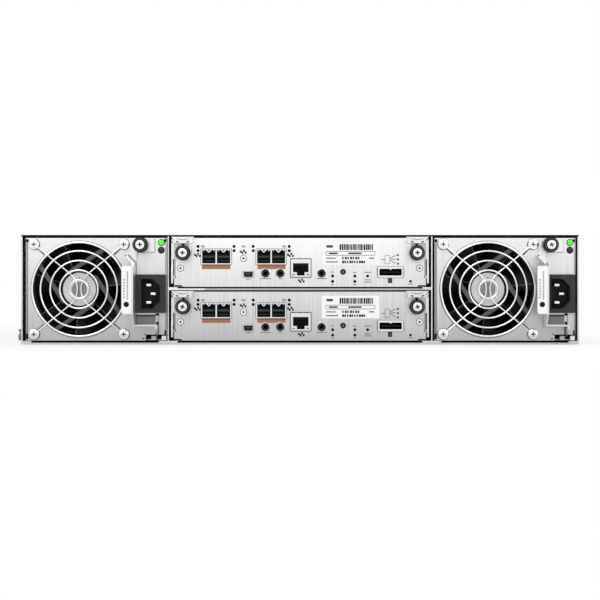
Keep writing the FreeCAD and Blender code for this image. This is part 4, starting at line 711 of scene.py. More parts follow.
# %% Power supplies
FAN_UP = 40.85
CORNER = 35.75
CORNERS = [(1, 1), (1, -1), (-1, 1), (-1, -1)]
SUPPLY_KNOB = (49.2, 76.1)
supply_at = {side: (spot("psu_fan_frame_" + side)[0], *spot("psu_case_" + side)[1:])
             for side in SIDES}
for side in SIDES:
    dress("psu_case_" + side, SUPPLY, CASE_EDGE)
    dress("psu_fan_frame_" + side, STRUT, 0.3)
    dress("psu_inlet_" + side, SOCKET, 0.3)
    dress("psu_latch_" + side, LATCH, LATCH_EDGE)
    dress("psu_board_" + side, DARK_BOARD)


def on_supplies(name, shapes, body="psu_", swaps=None, edge=0.0):
    """Sets a drawing down on both supplies. It rides on the named body of each side and
    may take the place of a CAD part."""
    for side in SIDES:
        swapped = [swaps + side] if swaps else []
        piece(name + side, body + side, shifted(shapes, *supply_at[side]), swapped, edge)
    print(made[-1])


# %% [markdown]
# ### Fan guard
# The guard is plated wire: five rings over four bent wires. A texture would look flat
# from the side, so every wire is a real tube, and the lowest ring sits against the
# face. It takes the place of the CAD's plainer guard.

# %% Fan guard
def guard_wires():
    """Five wire rings over four bent wires with an eye at each end. A wire runs straight
    from a screw towards the middle, then follows an arc of 16.3 mm radius about a centre
    17.8 mm to the side, and leaves it at the mirrored place."""
    shapes = [tube(ring_path(radius, 0, -2.45, FAN_UP), 0.70, WIRE_AND_HIGHLIGHT, closed=True)
              for radius in (7.4, 15.2, 22.8, 30.5)]
    shapes.append(tube(ring_path(37.4, 0, -1.0, FAN_UP, 128), 0.88, WIRE_AND_HIGHLIGHT, closed=True))
    bend = math.atan2(12.5, 10.4)
    arc = np.linspace(bend, -bend, 25)
    middle = np.stack([-17.8 + 16.3 * np.cos(arc), -0.85 + 0 * arc, 16.3 * np.sin(arc)], -1)
    start = np.array([(-CORNER + 2.2, -0.85, CORNER - 1.8)])
    left = np.concatenate([start, middle, start * (1, 1, -1)]) + (0, 0, FAN_UP)
    for side in (1, -1):
        shapes.append(tube(left * (side, 1, 1), 0.56, WIRE_AND_HIGHLIGHT))
        for up in (1, -1):
            eye = ring_path(2.9, side * CORNER, -0.85, FAN_UP + up * CORNER, 40)
            shapes.append(tube(eye, 0.62, WIRE_AND_HIGHLIGHT, closed=True))
    return shapes


on_supplies("guard_", guard_wires(), swaps="psu_fan_guard_")

# %% [markdown]
# ### Screws and shade of the guard
# Four pan heads hold the guard, each turned a little differently, as screws end up.
# Under wires this thin the soft lamp leaves hardly any shadow, so narrow dark lines on
# the face are painted shadow that outlines them.

# %% Screws and shade of the guard
def guard_screws():
    """Four pan heads at the corners of the fan, each turned a little differently."""
    shapes = []
    for index, (sx, sz) in enumerate(CORNERS):
        x, z = sx * CORNER, FAN_UP + sz * CORNER
        shapes += cross_head(x, z, 4.0, -3.5, 1.9, SCREW, turn=0.05 * index, crown=0.5,
                             reach=0.42, bar=0.075, recess=SOFT_RECESS_SHADE)
        shapes.append(lathed([(0, 8.3), (2.0, 8.3), (2.0, -1.7)], x, z, SCREW, 24))
    return shapes


def guard_shadows():
    """Painted shadow where the guard meets the face: a thin dark ring round the outer wire, a
    flat strip under each straight wire and a dark ring under each screw."""
    shapes = [lathed([(38.1, -0.05), (38.75, -0.05), (38.8, 0.02)], 0, FAN_UP, FAINT_INK_AND_SHADE, 128)]
    for sx, sz in CORNERS[::-1]:
        along = np.array((sx, sz)) * math.sqrt(0.5)
        aside = np.array((sz, -sx)) * math.sqrt(0.5)
        ends = [along * r + aside * w for r, w in
                ((39.3, -0.95), (39.3, 0.95), (47.0, 0.95), (47.0, -0.95))]
        shapes.append(prism([(x, FAN_UP + z) for x, z in ends], -0.045, 0.02, FAINT_INK_AND_SHADE))
        shapes.append(lathed([(3.4, -0.06), (4.5, -0.06), (4.6, 0.02)], sx * CORNER,
                             FAN_UP + sz * CORNER, FAINT_INK_AND_SHADE, 40))
    return shapes


on_supplies("guard_heads_", guard_screws(), swaps="psu_guard_screws_")
on_supplies("guard_shadows_", guard_shadows())

# %% [markdown]
# ### Fan
# The hub plate is fixed to the struts and the impeller spins behind it, so they are
# two pieces on two bodies. A blade is a grid in two directions, along its span and
# round its section, which gives it twist and thickness that no flat card would have.

# %% Fan
def hub_disc():
    """The plate on the middle of the fan: a light disc, crowned at its edge, in a black
    ring, with a darker boss in its middle and a small pointer above it."""
    half, ring, raised = 0.35, 8.5, (0.96, 1.05)
    ticks = [slab((x - half, x + half), raised, (up - half, up + half), SIGN_INK_AND_SHADE)
             for turn in (*np.linspace(-1.1, 1.1, 9), *np.linspace(2.04, 4.24, 9))
             for x, up in [(ring * math.cos(turn), FAN_UP + ring * math.sin(turn))]]
    return [
        lathed([(0, 1.02), (12.6, 1.02), (13.1, 1.08), (13.25, 1.2)], 0, FAN_UP, HUB, 72),
        lathed([(13.25, 1.15), (13.4, 1.05), (14.6, 1.05), (14.8, 1.25)], 0, FAN_UP, BLACK, 72),
        lathed([(0, 0.93), (5.2, 0.93), (5.9, 0.97), (6.1, 1.05)], 0, FAN_UP, DULL_AND_SHADE, 48),
        prism([(-0.7, FAN_UP + 8.6), (0.7, FAN_UP + 8.6), (0, FAN_UP + 9.9)], *raised, SIGN_INK_AND_SHADE),
    ] + ticks


def impeller():
    """A cup and seven blades. Along a blade the radius grows from the cup to the tip; its
    chord runs from rear to front while it swings about the axis, bowed by half a sine wave,
    and its thickness follows another half sine, so both its edges are thin. The rear edge,
    which the guard shows, is a lighter grey as a painted highlight."""
    blades, stations = 7, 14
    cup = lathed([(0, 4.6), (14.4, 4.6), (15.2, 5.0), (15.4, 5.6), (15.4, 23.6), (14.6, 24.6),
                  (0, 24.8)], 0, FAN_UP, BLADE, 64)
    along = np.linspace(0, 1, stations)[:, None]
    across = np.linspace(0, 1, 12) ** 1.6
    chord = np.concatenate([across, across[-2:0:-1]])
    side = np.concatenate([np.ones(12), -np.ones(10)])
    root, reach = 14.8, 22.0
    radius = root + reach * along
    wave = np.sin(np.pi * chord)
    swing = (-4.6 - 7.0 * along) + (9.4 + 12.6 * along) * chord + 2.4 * wave * along
    thick = 0.25 + 0.55 * wave
    angle = (swing + side * thick) / radius + 0.42
    depth = (5.6 + 1.0 * along) + (18.0 - 4.0 * along) * chord
    shapes = [cup]
    faces = grid_faces(stations, len(chord))
    front = np.isin(np.arange(len(faces)) % len(chord), (0, len(chord) - 1))
    tip = np.arange(len(chord))[None, :] + (stations - 1) * len(chord)
    for index in range(blades):
        turn = angle + index * 2 * np.pi / blades
        points = np.stack([radius * np.cos(turn), depth, FAN_UP + radius * np.sin(turn)], -1)
        points = points.reshape(-1, 3)
        # The faces along the rear edge take the painted highlight grey.
        shapes += [(points, (faces[~front], tip), BLADE), (points, faces[front], BLADE_EDGE_HIGHLIGHT)]
    return shapes


on_supplies("hub_disc_", hub_disc())
on_supplies("impeller_", impeller(), "fan_", "psu_fan_rotor_")

# %% [markdown]
# ### Mains inlet
# The CAD has the socket's block. What the eye looks for is added: bright prongs with
# eased edges, a lip that follows the cut corners, and a dark floor.

# %% Mains inlet
def prongs():
    """Three plated blades in the mains inlet, just around the CAD's."""
    places = ((55.2, 44.3), (55.2, 30.3), (58.8, 37.3))
    wide, high = 2.05, 1.05
    return blocks([(x - wide, x + wide, z - high, z + high) for x, z in places],
                  (0.9, 11.5), WIRE_AND_HIGHLIGHT)


def inlet_rim():
    """The raised lip around the mains socket, which follows its cut corners, and its dark
    throat."""
    edge = [(49.4, 25.3), (59.0, 25.3), (65.0, 31.3), (65.0, 43.3), (59.0, 49.3), (49.4, 49.3)]
    path = np.insert(np.array(edge, float), 1, -4.0, axis=1)
    back = prism(edge, 11.35, 11.45, SHEEN_AND_DARK_GREY)
    return [tube(path, 0.35, SOCKET, sides=8, closed=True), back]


on_supplies("inlet_prongs_", prongs(), edge=0.3)
on_supplies("inlet_rim_", inlet_rim())

# %% [markdown]
# ### Lamps and small marks
# The upper lamp is lit. Folds and relief slots are too narrow to model in the case
# without many more faces, so they are thin dark slips laid on it. Other dark slips are
# painted shadow beside the latch and under the mains inlet.

# %% Lamps and small marks
LAMP_AT = 65.3
LAMPS = {78.1: GREEN, 72.0: DARK_LENS}


def lamps():
    """Two domed lenses in thin black rims, the upper one lit."""
    dome = [(0, -1.2), (1.0, -1.12), (1.8, -0.9), (2.3, -0.5), (2.5, 0.0)]
    shapes = []
    for up, lens in LAMPS.items():
        shapes.append(lathed(dome, LAMP_AT, up, lens, 32))
        shapes.append(tube(ring_path(2.6, LAMP_AT, -0.05, up, 40), 0.22, BLACK, 8, True))
    return shapes


def psu_marks():
    """Small things on the face: the folded edges of its sheet, the relief slots at its
    corners, the foot of the latch in its notch, faint ticks beside the lamps, and painted
    shadow: dark lines beside the latch's lever, round its tab and along its leg, and a
    shaded panel under the mains inlet."""
    flat = [
        ((-42.3, -41.3), (1.0, 80.8), DULL_AND_SHADE), ((-41.2, -40.8), (1.6, 80.2), SIGN_INK_AND_SHADE),
        ((68.55, 68.95), (5.0, 21.0), SIGN_INK_AND_SHADE), ((68.55, 68.95), (53.4, 80.8), SIGN_INK_AND_SHADE),
        # Painted shadow lines beside the latch's lever, round its tab and along its leg.
        ((45.2, 45.6), (53.0, 62.2), SIGN_INK_AND_SHADE), ((46.1, 46.45), (66.2, 70.3), FAINT_INK_AND_SHADE),
        ((46.4, 60.1), (70.05, 70.4), FAINT_INK_AND_SHADE), ((60.15, 60.5), (70.05, 81.2), FAINT_INK_AND_SHADE),
        ((45.2, 45.6), (12.9, 21.4), SIGN_INK_AND_SHADE), ((43.6, 61.0), (10.85, 11.2), SIGN_INK_AND_SHADE),
        ((60.85, 61.25), (4.3, 11.2), SIGN_INK_AND_SHADE), ((63.0, 63.4), (4.3, 21.3), SIGN_INK_AND_SHADE),
        ((60.9, 63.6), (19.9, 21.6), PITCH_AND_SHADE), ((52.6, 69.3), (4.2, 4.8), PITCH_AND_SHADE),
    ]
    shapes = [slab(x, (-0.04, 0.05), z, material) for x, z, material in flat]
    shapes += [
        slab((65.6, 69.2), (0.2, 7.5), (0.3, 3.7), SHELL),
        slab((57.4, 61.2), (1.0, 7.5), (0.3, 3.6), INNER),
        # A painted shadow under the mains inlet, darkest in a strip at its top.
        slab((45.6, 60.9), (-0.05, 0.05), (13.0, 20.6), PAINTED_SHADOW),
        slab((45.6, 60.9), (-0.07, 0.05), (19.2, 20.6), SIGN_INK_AND_SHADE),
    ]
    slots = ((-42.4, 78.4, 2.2, 2.4), (-42.4, 1.0, 1.7, 4.6), (67.6, 78.4, 1.7, 2.6),
             (67.8, 3.9, 1.4, 4.4), (51.2, 4.6, 1.0, 1.0), (50.4, 0.8, 1.2, 1.3))
    shapes += [plate((x, x + wide), (z, z + high), 0.45, -0.055, 0.05, PITCH_AND_SHADE)
               for x, z, wide, high in slots]
    return shapes + blocks([(59.4, 60.0, up - 0.4, up + 0.6) for up in LAMPS], (-0.04, 0.03),
                           FAINT_INK_AND_SHADE)


on_supplies("lamps_", lamps())
on_supplies("face_marks_", psu_marks())

# %% [markdown]
# ### Latch and thumbscrew
# The latch carries a white plate on its grip; the real one is printed, this one is
# left plain. The thumbscrew is a turned knob whose profile carries a cosine knurl, and
# a plated head in its middle. Each knob is turned differently.

# %% Latch and thumbscrew
def grip_label():
    """The white plate on the latch's grip, with two rows of faint ticks and a plain dark
    dot near its lower end, a painted highlight on the front edge of the fold above it, and
    a painted shadow line along the fold's root."""
    ticks = [slab((x, x + wide), (-21.45, -21.4), (up, up + 0.6 * step), FAINT_INK_AND_SHADE)
             for x, wide, low, high, step in ((37.7, 0.9, 33.6, 48.0, 2.3),
                                              (40.2, 1.1, 33.2, 55.0, 1.7))
             for up in np.arange(low, high, step)]
    return ticks + [
        plate((36.3, 43.8), (21.6, 58.6), 1.8, -21.42, -21.25, PAPER),
        lathed([(0, -21.46), (2.1, -21.46), (2.2, -21.4)], 39.9, 28.8, INK, 32),
        # A painted highlight on the front edge of the fold.
        prism([(37.2, 67.45), (43.9, 60.1), (45.05, 60.1), (45.05, 61.5), (38.6, 68.1)],
              -13.12, -13.0, WIRE_AND_HIGHLIGHT),
        lathed([(0, -13.2), (0.5, -13.2), (0.6, -13.12)], 38.3, 67.3, PITCH_AND_SHADE, 20),
        # A painted shadow line along the root of the fold.
        prism([(39.0, 68.2), (44.9, 62.2), (45.3, 62.7), (39.6, 68.6)], -1.66, -1.58, SIGN_INK_AND_SHADE),
    ]


def thumbscrew(x, z, turn):
    """A knob: a knurled black ring with a groove in its face, painted lighter grey as a
    painted highlight of its rim, and a plated head.
    """
    ring = [(2.0, -1.9), (5.3, -1.9), (5.95, -2.5, 0.0), (5.85, -2.8, 0.12),
            (5.85, -7.9, 0.12), (5.95, -8.2, 0.0), (5.6, -8.8), (5.0, -9.1)]
    face = [(5.0, -9.1), (4.9, -8.75), (4.45, -8.75)]
    inner = [(4.45, -8.75), (4.3, -9.15), (3.6, -9.15), (3.5, -9.1)]
    shank = [(2.0, -1.9), (2.0, 2.0), (1.6, 2.4), (0, 2.4)]
    return [
        lathed(ring, x, z, RUBBER, 144, 36), lathed(face, x, z, GROOVE_AND_HIGHLIGHT),
        lathed(inner, x, z, RUBBER), lathed(shank, x, z, SCREW, 32),
    ] + cross_head(x, z, 3.5, -10.0, 0.95, SCREW, turn, 0.45, 0.46, 0.12)


on_supplies("grip_label_", grip_label(), "psu_latch_")
for side, turn in zip(SIDES, (0.1, 0.5)):
    knob = shifted(thumbscrew(*SUPPLY_KNOB, turn), *supply_at[side])
    screw = "psu_thumbscrew_" + side
    piece("psu_knob_" + side, screw, knob, [screw])
print("knobs:", made[-1])

# %% [markdown]
# ## Controllers
# Drawn once, with X from the middle, Y from the rear face and Z from the underside,
# and set down on both levels.

# %% Controllers
CONTROLLER_KNOB = (92.9, 26.9)
TAB_MIDDLE = 92.8
BUTTON = (34.3, 11.9)
controller_at = {level: spot("controller_case_" + level) for level in LEVELS}
for level in LEVELS:
    dress("controller_case_" + level, FACE, CASE_EDGE)
    dress("controller_ports_" + level, SHELL, 0.12)
    dress("controller_board_" + level, BOARD)
    dress("controller_button_" + level, BLACK, 0.2)


def on_controllers(name, shapes, body="controller_"):
    """Sets a drawing down on both controllers."""
    for level in LEVELS:
        piece(name + level, body + level, shifted(shapes, *controller_at[level]))
    print(made[-1])


# %% [markdown]
# ### Host ports
# Four square openings in pairs. Inside each a curved shutter catches a dull band of
# light; a flat black card would not, so the shutter is part of a cylinder. Two grey bars
# on it add a painted sheen, and a faint painted shadow line runs round each pair. The
# copper strip below is the gasket that earths the plug.

# %% Host ports
PORTS, PORT_WIDE = (-77.5, -65.8, -33.75, -22.05), 9.9


def host_ports():
    """The trim of the four host openings: a dark curved shutter inside each, whose face is
    part of a cylinder along X, with two grey bars on it as painted sheen, two spring
    fingers in a V at the top, a black liner round its mouth, a gasket below, and a painted
    shadow line round each pair."""
    shapes = []
    turn = np.linspace(-1.25, 1.25, 15)
    bulge = np.stack([2.2 - 1.6 * np.cos(turn), 24.0 + 4.9 * np.sin(turn)], -1)
    shutter = np.concatenate([bulge, [(6.0, 28.9), (6.0, 19.1)]])
    for left in PORTS:
        x = (left, left + PORT_WIDE)
        mid = sum(x) / 2
        finger = [(-2.4, 29.5), (-1.2, 29.5), (0, 28.2), (1.2, 29.5), (2.4, 29.5),
                  (0.35, 27.3), (-0.35, 27.3)]
        shapes += [
            prism(shutter, x[0] + 0.15, x[1] - 0.15, PITCH_AND_SHADE, axis="x"),
            # Painted sheen: two grey bars on the shutter.
            slab((x[0] + 0.3, x[1] - 0.3), (0.45, 0.7), (23.2, 24.9), SHEEN_AND_DARK_GREY),
            slab((x[0] + 0.3, x[1] - 0.3), (0.7, 1.4), (20.4, 20.9), SHEEN_AND_DARK_GREY),
            prism([(mid + aside, up) for aside, up in finger], -0.9, -0.6, SHELL),
            slab((x[0] + 0.6, x[0] + 1.2), (-0.9, -0.6), (28.4, 29.5), SHELL),
            slab((x[1] - 1.2, x[1] - 0.6), (-0.9, -0.6), (28.4, 29.5), SHELL),
            framed(x, (19.0, 29.1), 0.15, 0.35, -0.86, -0.7, PITCH_AND_SHADE),
        ]
    for x in ((-78.1, -55.4), (-33.9, -11.5)):
        shapes.append(slab(x, (-0.35, 0.05), (14.1, 17.4), COPPER))
        shapes.append(slab(x, (-0.42, 0.05), (16.45, 16.85), SIGN_INK_AND_SHADE))
    # A faint painted shadow line round each pair of openings.
    return shapes + [framed((middle - 12.1, middle + 12.1), (17.9, 30.1), 0.1, 0.45, -0.06,
                            0.02, FAINT_INK_AND_SHADE) for middle in (-66.7, -22.95)]


on_controllers("host_ports_", host_ports())

# %% [markdown]
# ### Network port
# The CAD has the shell. The lining with its stepped throat, the contacts, the two lamp
# windows and a painted shadow line round the shell are added just inside and on it.

# %% Network port
def network_port():
    """The network socket's inside: a black lining with the keyed step, eight contacts, two
    lamp windows at the lower corners, the dashes along the top of its shell, and a painted
    shadow line round the shell."""
    throat = [(-5.55, 18.75), (6.75, 18.75), (6.75, 11.65), (3.65, 11.65), (3.65, 9.05),
              (-2.45, 9.05), (-2.45, 11.65), (-5.55, 11.65)]
    pitch, contact = 1.5, 0.5
    windows = (-6.6, 4.8)
    dashes = ((-6.9, 3.2), (-2.0, 3.4), (3.6, 3.2))
    return [
        prism(throat, 0.9, 9.5, PITCH_AND_SHADE),
        *blocks([(x, x + contact, 16.9, 18.2) for x in -4.9 + pitch * np.arange(8)],
                (0.3, 0.9), GOLD),
        *blocks([(x, x + 3.0, 8.6, 10.9) for x in windows], (-0.95, -0.6), LENS),
        *blocks([(x + 0.4, x + 2.6, 9.3, 10.1) for x in windows], (-1.0, -0.9), FAINT_INK_AND_SHADE),
        *blocks([(x, x + wide, 21.95, 22.35) for x, wide in dashes], (-0.86, -0.7), PITCH_AND_SHADE),
        # A painted shadow line round the shell.
        framed((-7.3, 8.5), (7.9, 22.1), 0.9, 0.4, -0.95, -0.75, SIGN_INK_AND_SHADE),
    ]


on_controllers("network_port_", network_port())

# %% [markdown]
# ### Small ports
# A small tapered socket, three round jacks with turned collars, and a wide socket in a
# raised, rounded surround.

# %% Small ports
JACKS, JACK_UP = (-27.5, -15.7, 17.2), 10.8


def small_ports():
    """The tongues of the small socket and of the wide one, the collars of the round jacks,
    the raised surround of the wide socket, and a painted shadow line round the small
    socket."""
    shapes = [
        prism([(-44.9, 11.9), (-37.4, 11.9), (-38.3, 7.9), (-44.0, 7.9)], -0.88, -0.8, PITCH_AND_SHADE),
        slab((-43.2, -39.1), (-0.95, -0.85), (9.6, 10.6), CAP),
        # A painted shadow line round the small socket.
        framed((-45.25, -37.05), (7.7, 12.1), 0.1, 0.4, -0.06, 0.02, FAINT_INK_AND_SHADE),
        slab((64.4, 79.8), (1.2, 12.0), (11.0, 12.3), BLACK),
        framed((63.2, 81.0), (8.95, 14.35), 0.05, 1.9, -0.1, 0.02, FACE),
        framed((61.85, 82.35), (7.6, 15.7), 1.9, 0.6, -0.14, 0.0, SIGN_INK_AND_SHADE),
        framed((63.2, 81.0), (8.95, 14.35), 0.7, 1.35, -1.25, 0.0, SHELL),
        prism([(71.0, 14.5), (73.2, 14.5), (72.1, 13.3)], -1.2, -0.9, WIRE_AND_HIGHLIGHT),
        slab((63.2, 81.0), (13.0, 13.2), (9.0, 14.3), PITCH_AND_SHADE),
    ]
    washer = [(3.75, 0.0), (3.75, -0.35), (3.35, -0.6)]
    collar = [(3.35, -0.6), (3.1, -1.1), (2.2, -1.15), (1.75, -0.8), (1.75, 6.0)]
    for x in JACKS:
        shapes.append(lathed(washer, x, JACK_UP, SHELL))
        shapes.append(lathed(collar, x, JACK_UP, SOCKET))
        shapes.append(lathed([(1.75, 6.0), (0, 6.0)], x, JACK_UP, PITCH_AND_SHADE, 24))
    return shapes


on_controllers("small_ports_", small_ports())

# %% [markdown]
# ### Holes, screws and the button
# Lamp holes are black discs with a turned edge, cheaper than holes in the mesh and the
# same to the eye. The button's trim rides on the button, so it moves when pressed.

# %% Holes, screws and the button
def round_details():
    """The round things on the face: the lamp holes and the flat screws in their grooves."""
    spots = [(x, z, 1.15) for x in (-81.2, -52.5, -37.3, -8.6) for z in (32.2, 28.8)]
    spots += [(26.0, 8.6, 1.1), (26.0, 4.3, 1.1), (43.7, 8.6, 1.1), (43.7, 4.3, 1.1),
              (53.9, 8.6, 1.1), (88.0, 4.4, 1.0)]
    shapes = [lathed([(0, -0.06), (r, -0.06), (r + 0.1, 0.02)], x, z, PITCH_AND_SHADE, 28)
              for x, z, r in spots]
    for x, z in ((-95.2, 14.8), (95.2, 14.8), (-45.0, 22.6)):
        shapes += cross_head(x, z, 2.3, -0.45, 0.45, SCREW, 0.0, 0.1, 0.42, 0.16)
        groove = [(2.35, 0.0), (2.4, -0.2), (2.75, -0.2), (2.85, 0.02)]
        shapes.append(lathed(groove, x, z, GROOVE_AND_HIGHLIGHT, 40))
    return shapes


def button_trim():
    """The button's black rim with a small grey cap in its middle."""
    rim = [(1.15, 0.1), (1.25, -0.25), (2.0, -0.25), (2.2, 0.2)]
    cap = [(0, -0.05), (0.9, 0.0), (1.15, 0.1)]
    return [lathed(rim, *BUTTON, BLACK, 40), lathed(cap, *BUTTON, GROOVE_AND_HIGHLIGHT, 32)]


on_controllers("face_fixings_", round_details())
on_controllers("button_cap_", button_trim(), "button_")

# %% [markdown]
# ### Prints
# The real face has a paper label and small signs. They could be pictures, but simple
# shapes need no file, and plain bars in place of writing keep the part free of names.

# %% Prints
PRINTED, DRAWN = (-0.05, 0.02), (-0.04, 0.02)


def pictogram(x, z, size=1.0, ink=INK):
    """A plain sign: four dark tiles that step down, up and down, with a bar between the
    first two."""
    tiles = [(-1.9, 0.25), (-0.55, -0.8), (0.65, 0.9), (1.95, -0.65)]
    bar = [(-2.3, 0.6), (-1.7, 1.0), (-0.2, -1.0), (-0.8, -1.4)]
    rows = [(x + (a - 0.68) * size, x + (a + 0.68) * size, z + (b - 0.9) * size,
             z + (b + 0.9) * size) for a, b in tiles]
    return blocks(rows, PRINTED, ink) + [
        prism([(x + a * size, z + b * size) for a, b in bar], *PRINTED, ink)]


def branch_sign(x, z):
    """A plain sign of a frame with three lines that fan out of it."""
    shapes = [framed((x - 5.0, x - 1.5), (z - 3.2, z + 3.2), 0.4, 0.35, -0.045, 0.02, SIGN_INK_AND_SHADE),
              slab((x - 8.2, x - 5.2), DRAWN, (z - 0.25, z + 0.25), SIGN_INK_AND_SHADE)]
    for rise in (-1, 0, 1):
        ends = [(x - 1.0, z + rise * 1.0), (x + 3.6, z + rise * 3.2)]
        end = z + rise * 3.4
        shapes.append(prism(ends + [(a, b + 0.55) for a, b in ends[::-1]], *DRAWN, SIGN_INK_AND_SHADE))
        shapes.append(slab((x + 4.4, x + 5.8), DRAWN, (end - 0.7, end + 1.0), SIGN_INK_AND_SHADE))
    return shapes


def prints():
    """The white label with plain bars and boxes, and small plain signs; nothing on them
    reads."""
    inked = (-0.2, -0.1)
    shapes = [plate((17.3, 63.2), (17.6, 35.7), 0.6, -0.14, 0.02, PAPER)]
    rng = np.random.default_rng(4)
    edge = 31.5
    while edge < 58.2:
        wide = rng.choice((0.5, 0.8, 1.3))
        shapes.append(slab((edge, edge + wide), inked, (29.3, 33.9), INK))
        edge += wide + rng.choice((0.35, 0.5))
    shapes.append(framed((20.9, 59.5), (25.3, 28.0), 0.5, 0.35, *inked, INK))
    bars = ((21.0, 5.2, 31.2, 2.0), (23.0, 7.0, 26.0, 1.3), (38.5, 10.5, 26.0, 1.3),
            (20.9, 7.5, 22.4, 0.8), (20.9, 9.5, 19.4, 0.8), (55.0, 4.0, 22.4, 0.9))
    shapes += blocks([(x, x + wide, z, z + high) for x, wide, z, high in bars],
                     (-0.19, -0.1), SIGN_INK_AND_SHADE)
    for low, starts in ((21.9, np.arange(33.6, 47.0, 2.1)), (18.8, np.arange(33.6, 52.5, 1.9))):
        shapes += blocks([(start, start + rng.choice((1.1, 1.6)), low, low + 2.0)
                          for start in starts], inked, INK)
    for x, z in ((-81.8, 25.3), (-45.4, 27.9), (-7.6, 25.3), (1.0, 4.9)):
        shapes += pictogram(x, z)
    for x in (-77.3, -44.9, -12.6):
        shapes += pictogram(x, 32.2, 0.6, FAINT_INK_AND_SHADE)
    lines = ((25.8, 11.4, 2.4), (43.6, 11.1, 2.4), (53.9, 11.2, 5.4), (53.9, 5.2, 4.6),
             (53.9, 3.4, 5.4), (-27.5, 6.2, 8.6), (-15.7, 6.2, 2.8), (17.4, 6.2, 8.2),
             (-41.1, 5.8, 3.6), (25.8, 1.6, 1.8), (43.6, 1.6, 2.0), (88.0, 1.9, 3.6))
    shapes += blocks([(x - wide / 2, x + wide / 2, z, z + 0.7) for x, z, wide in lines],
                     (-0.035, 0.02), FAINT_INK_AND_SHADE)
    shapes.append(plate((70.0, 73.4), (2.9, 6.9), 0.7, *PRINTED, INK))
    shapes += blocks([(70.6, 72.8, z, z + 0.3) for z in (3.9, 4.8, 5.7)], (-0.07, 0.0), FAINT_INK_AND_SHADE)
    return shapes + branch_sign(72.9, 21.7)


on_controllers("face_prints_", prints())

# %% [markdown]
# ### Edges and latches
# Each controller has a latch and a knob at both ends. They are drawn for the right end
# and mirrored for the left, and each rides on its own latch or screw.

# %% Edges and latches
def edge_marks():
    """Dark relief marks along the folded ends of the controller's face, drawn on its
    right, and the cut at its lower corner with the end of a small pin in it."""
    return [
        slab((98.35, 98.7), (-0.05, 0.03), (22.0, 36.0), SIGN_INK_AND_SHADE),
        slab((99.3, 99.9), (-0.05, 0.03), (7.4, 21.6), PITCH_AND_SHADE),
        prism([(98.2, 7.2), (99.6, 7.2), (99.6, 8.6)], -0.06, 0.03, PITCH_AND_SHADE),
        prism([(93.2, 0.15), (100.2, 0.15), (100.2, 1.3), (94.4, 1.3)], -0.05, 0.03, PITCH_AND_SHADE),
        lathed([(0, -0.12), (0.5, -0.1), (0.6, 0.0)], 93.6, 1.3, SCREW, 20),
    ]


def latch_details():
    """The brushed front of the face plate and the dimple in it, and on the finger tab a
    soft crescent of painted shade below its upper edge and the dark cut under each
    shoulder. The crescent lies between two parabolas that meet at its ends."""
    across = np.linspace(-1, 1, 17)
    bow = 1 - across ** 2
    upper, lower = (np.stack([TAB_MIDDLE + 6.4 * across, 38.7 - sag * bow], -1)
                    for sag in (1.1, 1.9))
    shapes = [
        plate((88.0, 100.4), (22.3, 34.6), 0.5, -1.66, -1.58, PLATE),
        lathed([(0, -1.72), (0.9, -1.72), (1.2, -1.62)], TAB_MIDDLE, 33.2, PITCH_AND_SHADE, 24),
        # A crescent of painted shade below the tab's upper edge.
        prism(np.concatenate([upper, lower[-2:0:-1]]), -10.05, -9.98, DULL_AND_SHADE),
    ]
    for sign in (-1, 1):
        cut = [(TAB_MIDDLE + sign * x, z) for x, z in ((3.8, 34.6), (5.9, 36.1), (3.1, 36.1))]
        shapes.append(prism(cut, -10.05, -9.98, RECESS_SHADE))
    return shapes


on_controllers("edge_marks_", edge_marks() + mirrored(edge_marks()))
for level, turn in zip(LEVELS, (0.3, 0.05)):
    for side, flip in zip(SIDES, (mirrored, list)):
        name, at = f"{level}_{side}", controller_at[level]
        latch, screw = "controller_latch_" + name, "controller_thumbscrew_" + name
        dress(latch, LATCH, LATCH_EDGE)
        trim = shifted(flip(latch_details()), *at)
        piece("latch_trim_" + name, latch, trim)
        knob = shifted(flip(thumbscrew(*CONTROLLER_KNOB, turn)), *at)
        piece("knob_" + name, screw, knob, [screw])
print("latches and knobs:", made[-2:])

# %% [markdown]
# ## Drive side
# The far side can't be seen from behind, so it is kept plain: six disk carriers with
# levers and six blanks. Each carrier gets two lamps and each lever a release button
# with ribs, placed from the part's own box so that they follow its size.

# %% Drive side
def carrier_trim(x, y, z, high):
    """Two small lamp windows at the right end of a carrier's front, in a dark frame."""
    right = x + 47.5
    mid = z + high / 2
    dome = [(0, y + 0.75), (0.9, y + 0.65), (1.3, y + 0.3)]
    return [
        plate((right - 4.0, right + 4.0), (mid - 7.0, mid + 7.0), 1.2, y, y + 0.35, LEVER),
        lathed(dome, right, mid + 3.4, GREEN, 24),
        lathed(dome, right, mid - 3.4, DARK_LENS, 24),
    ]


def lever_trim(low, high):
    """A round-cornered release button with five ribs on the lever's thick end."""
    left, mid, front = low[0] + 9.0, (low[2] + high[2]) / 2, high[1]
    button = plate((left - 5.0, left + 3.5), (mid - 5.0, mid + 5.0), 1.0, front - 0.3,
                   front + 0.25, TOUCH)
    pitch, rib, half = 1.4, 0.6, 3.6
    ribs = [(x, x + rib, mid - half, mid + half)
            for x in left - half + pitch * np.arange(5)]
    return [button] + blocks(ribs, (front + 0.2, front + 0.5), TOUCH)


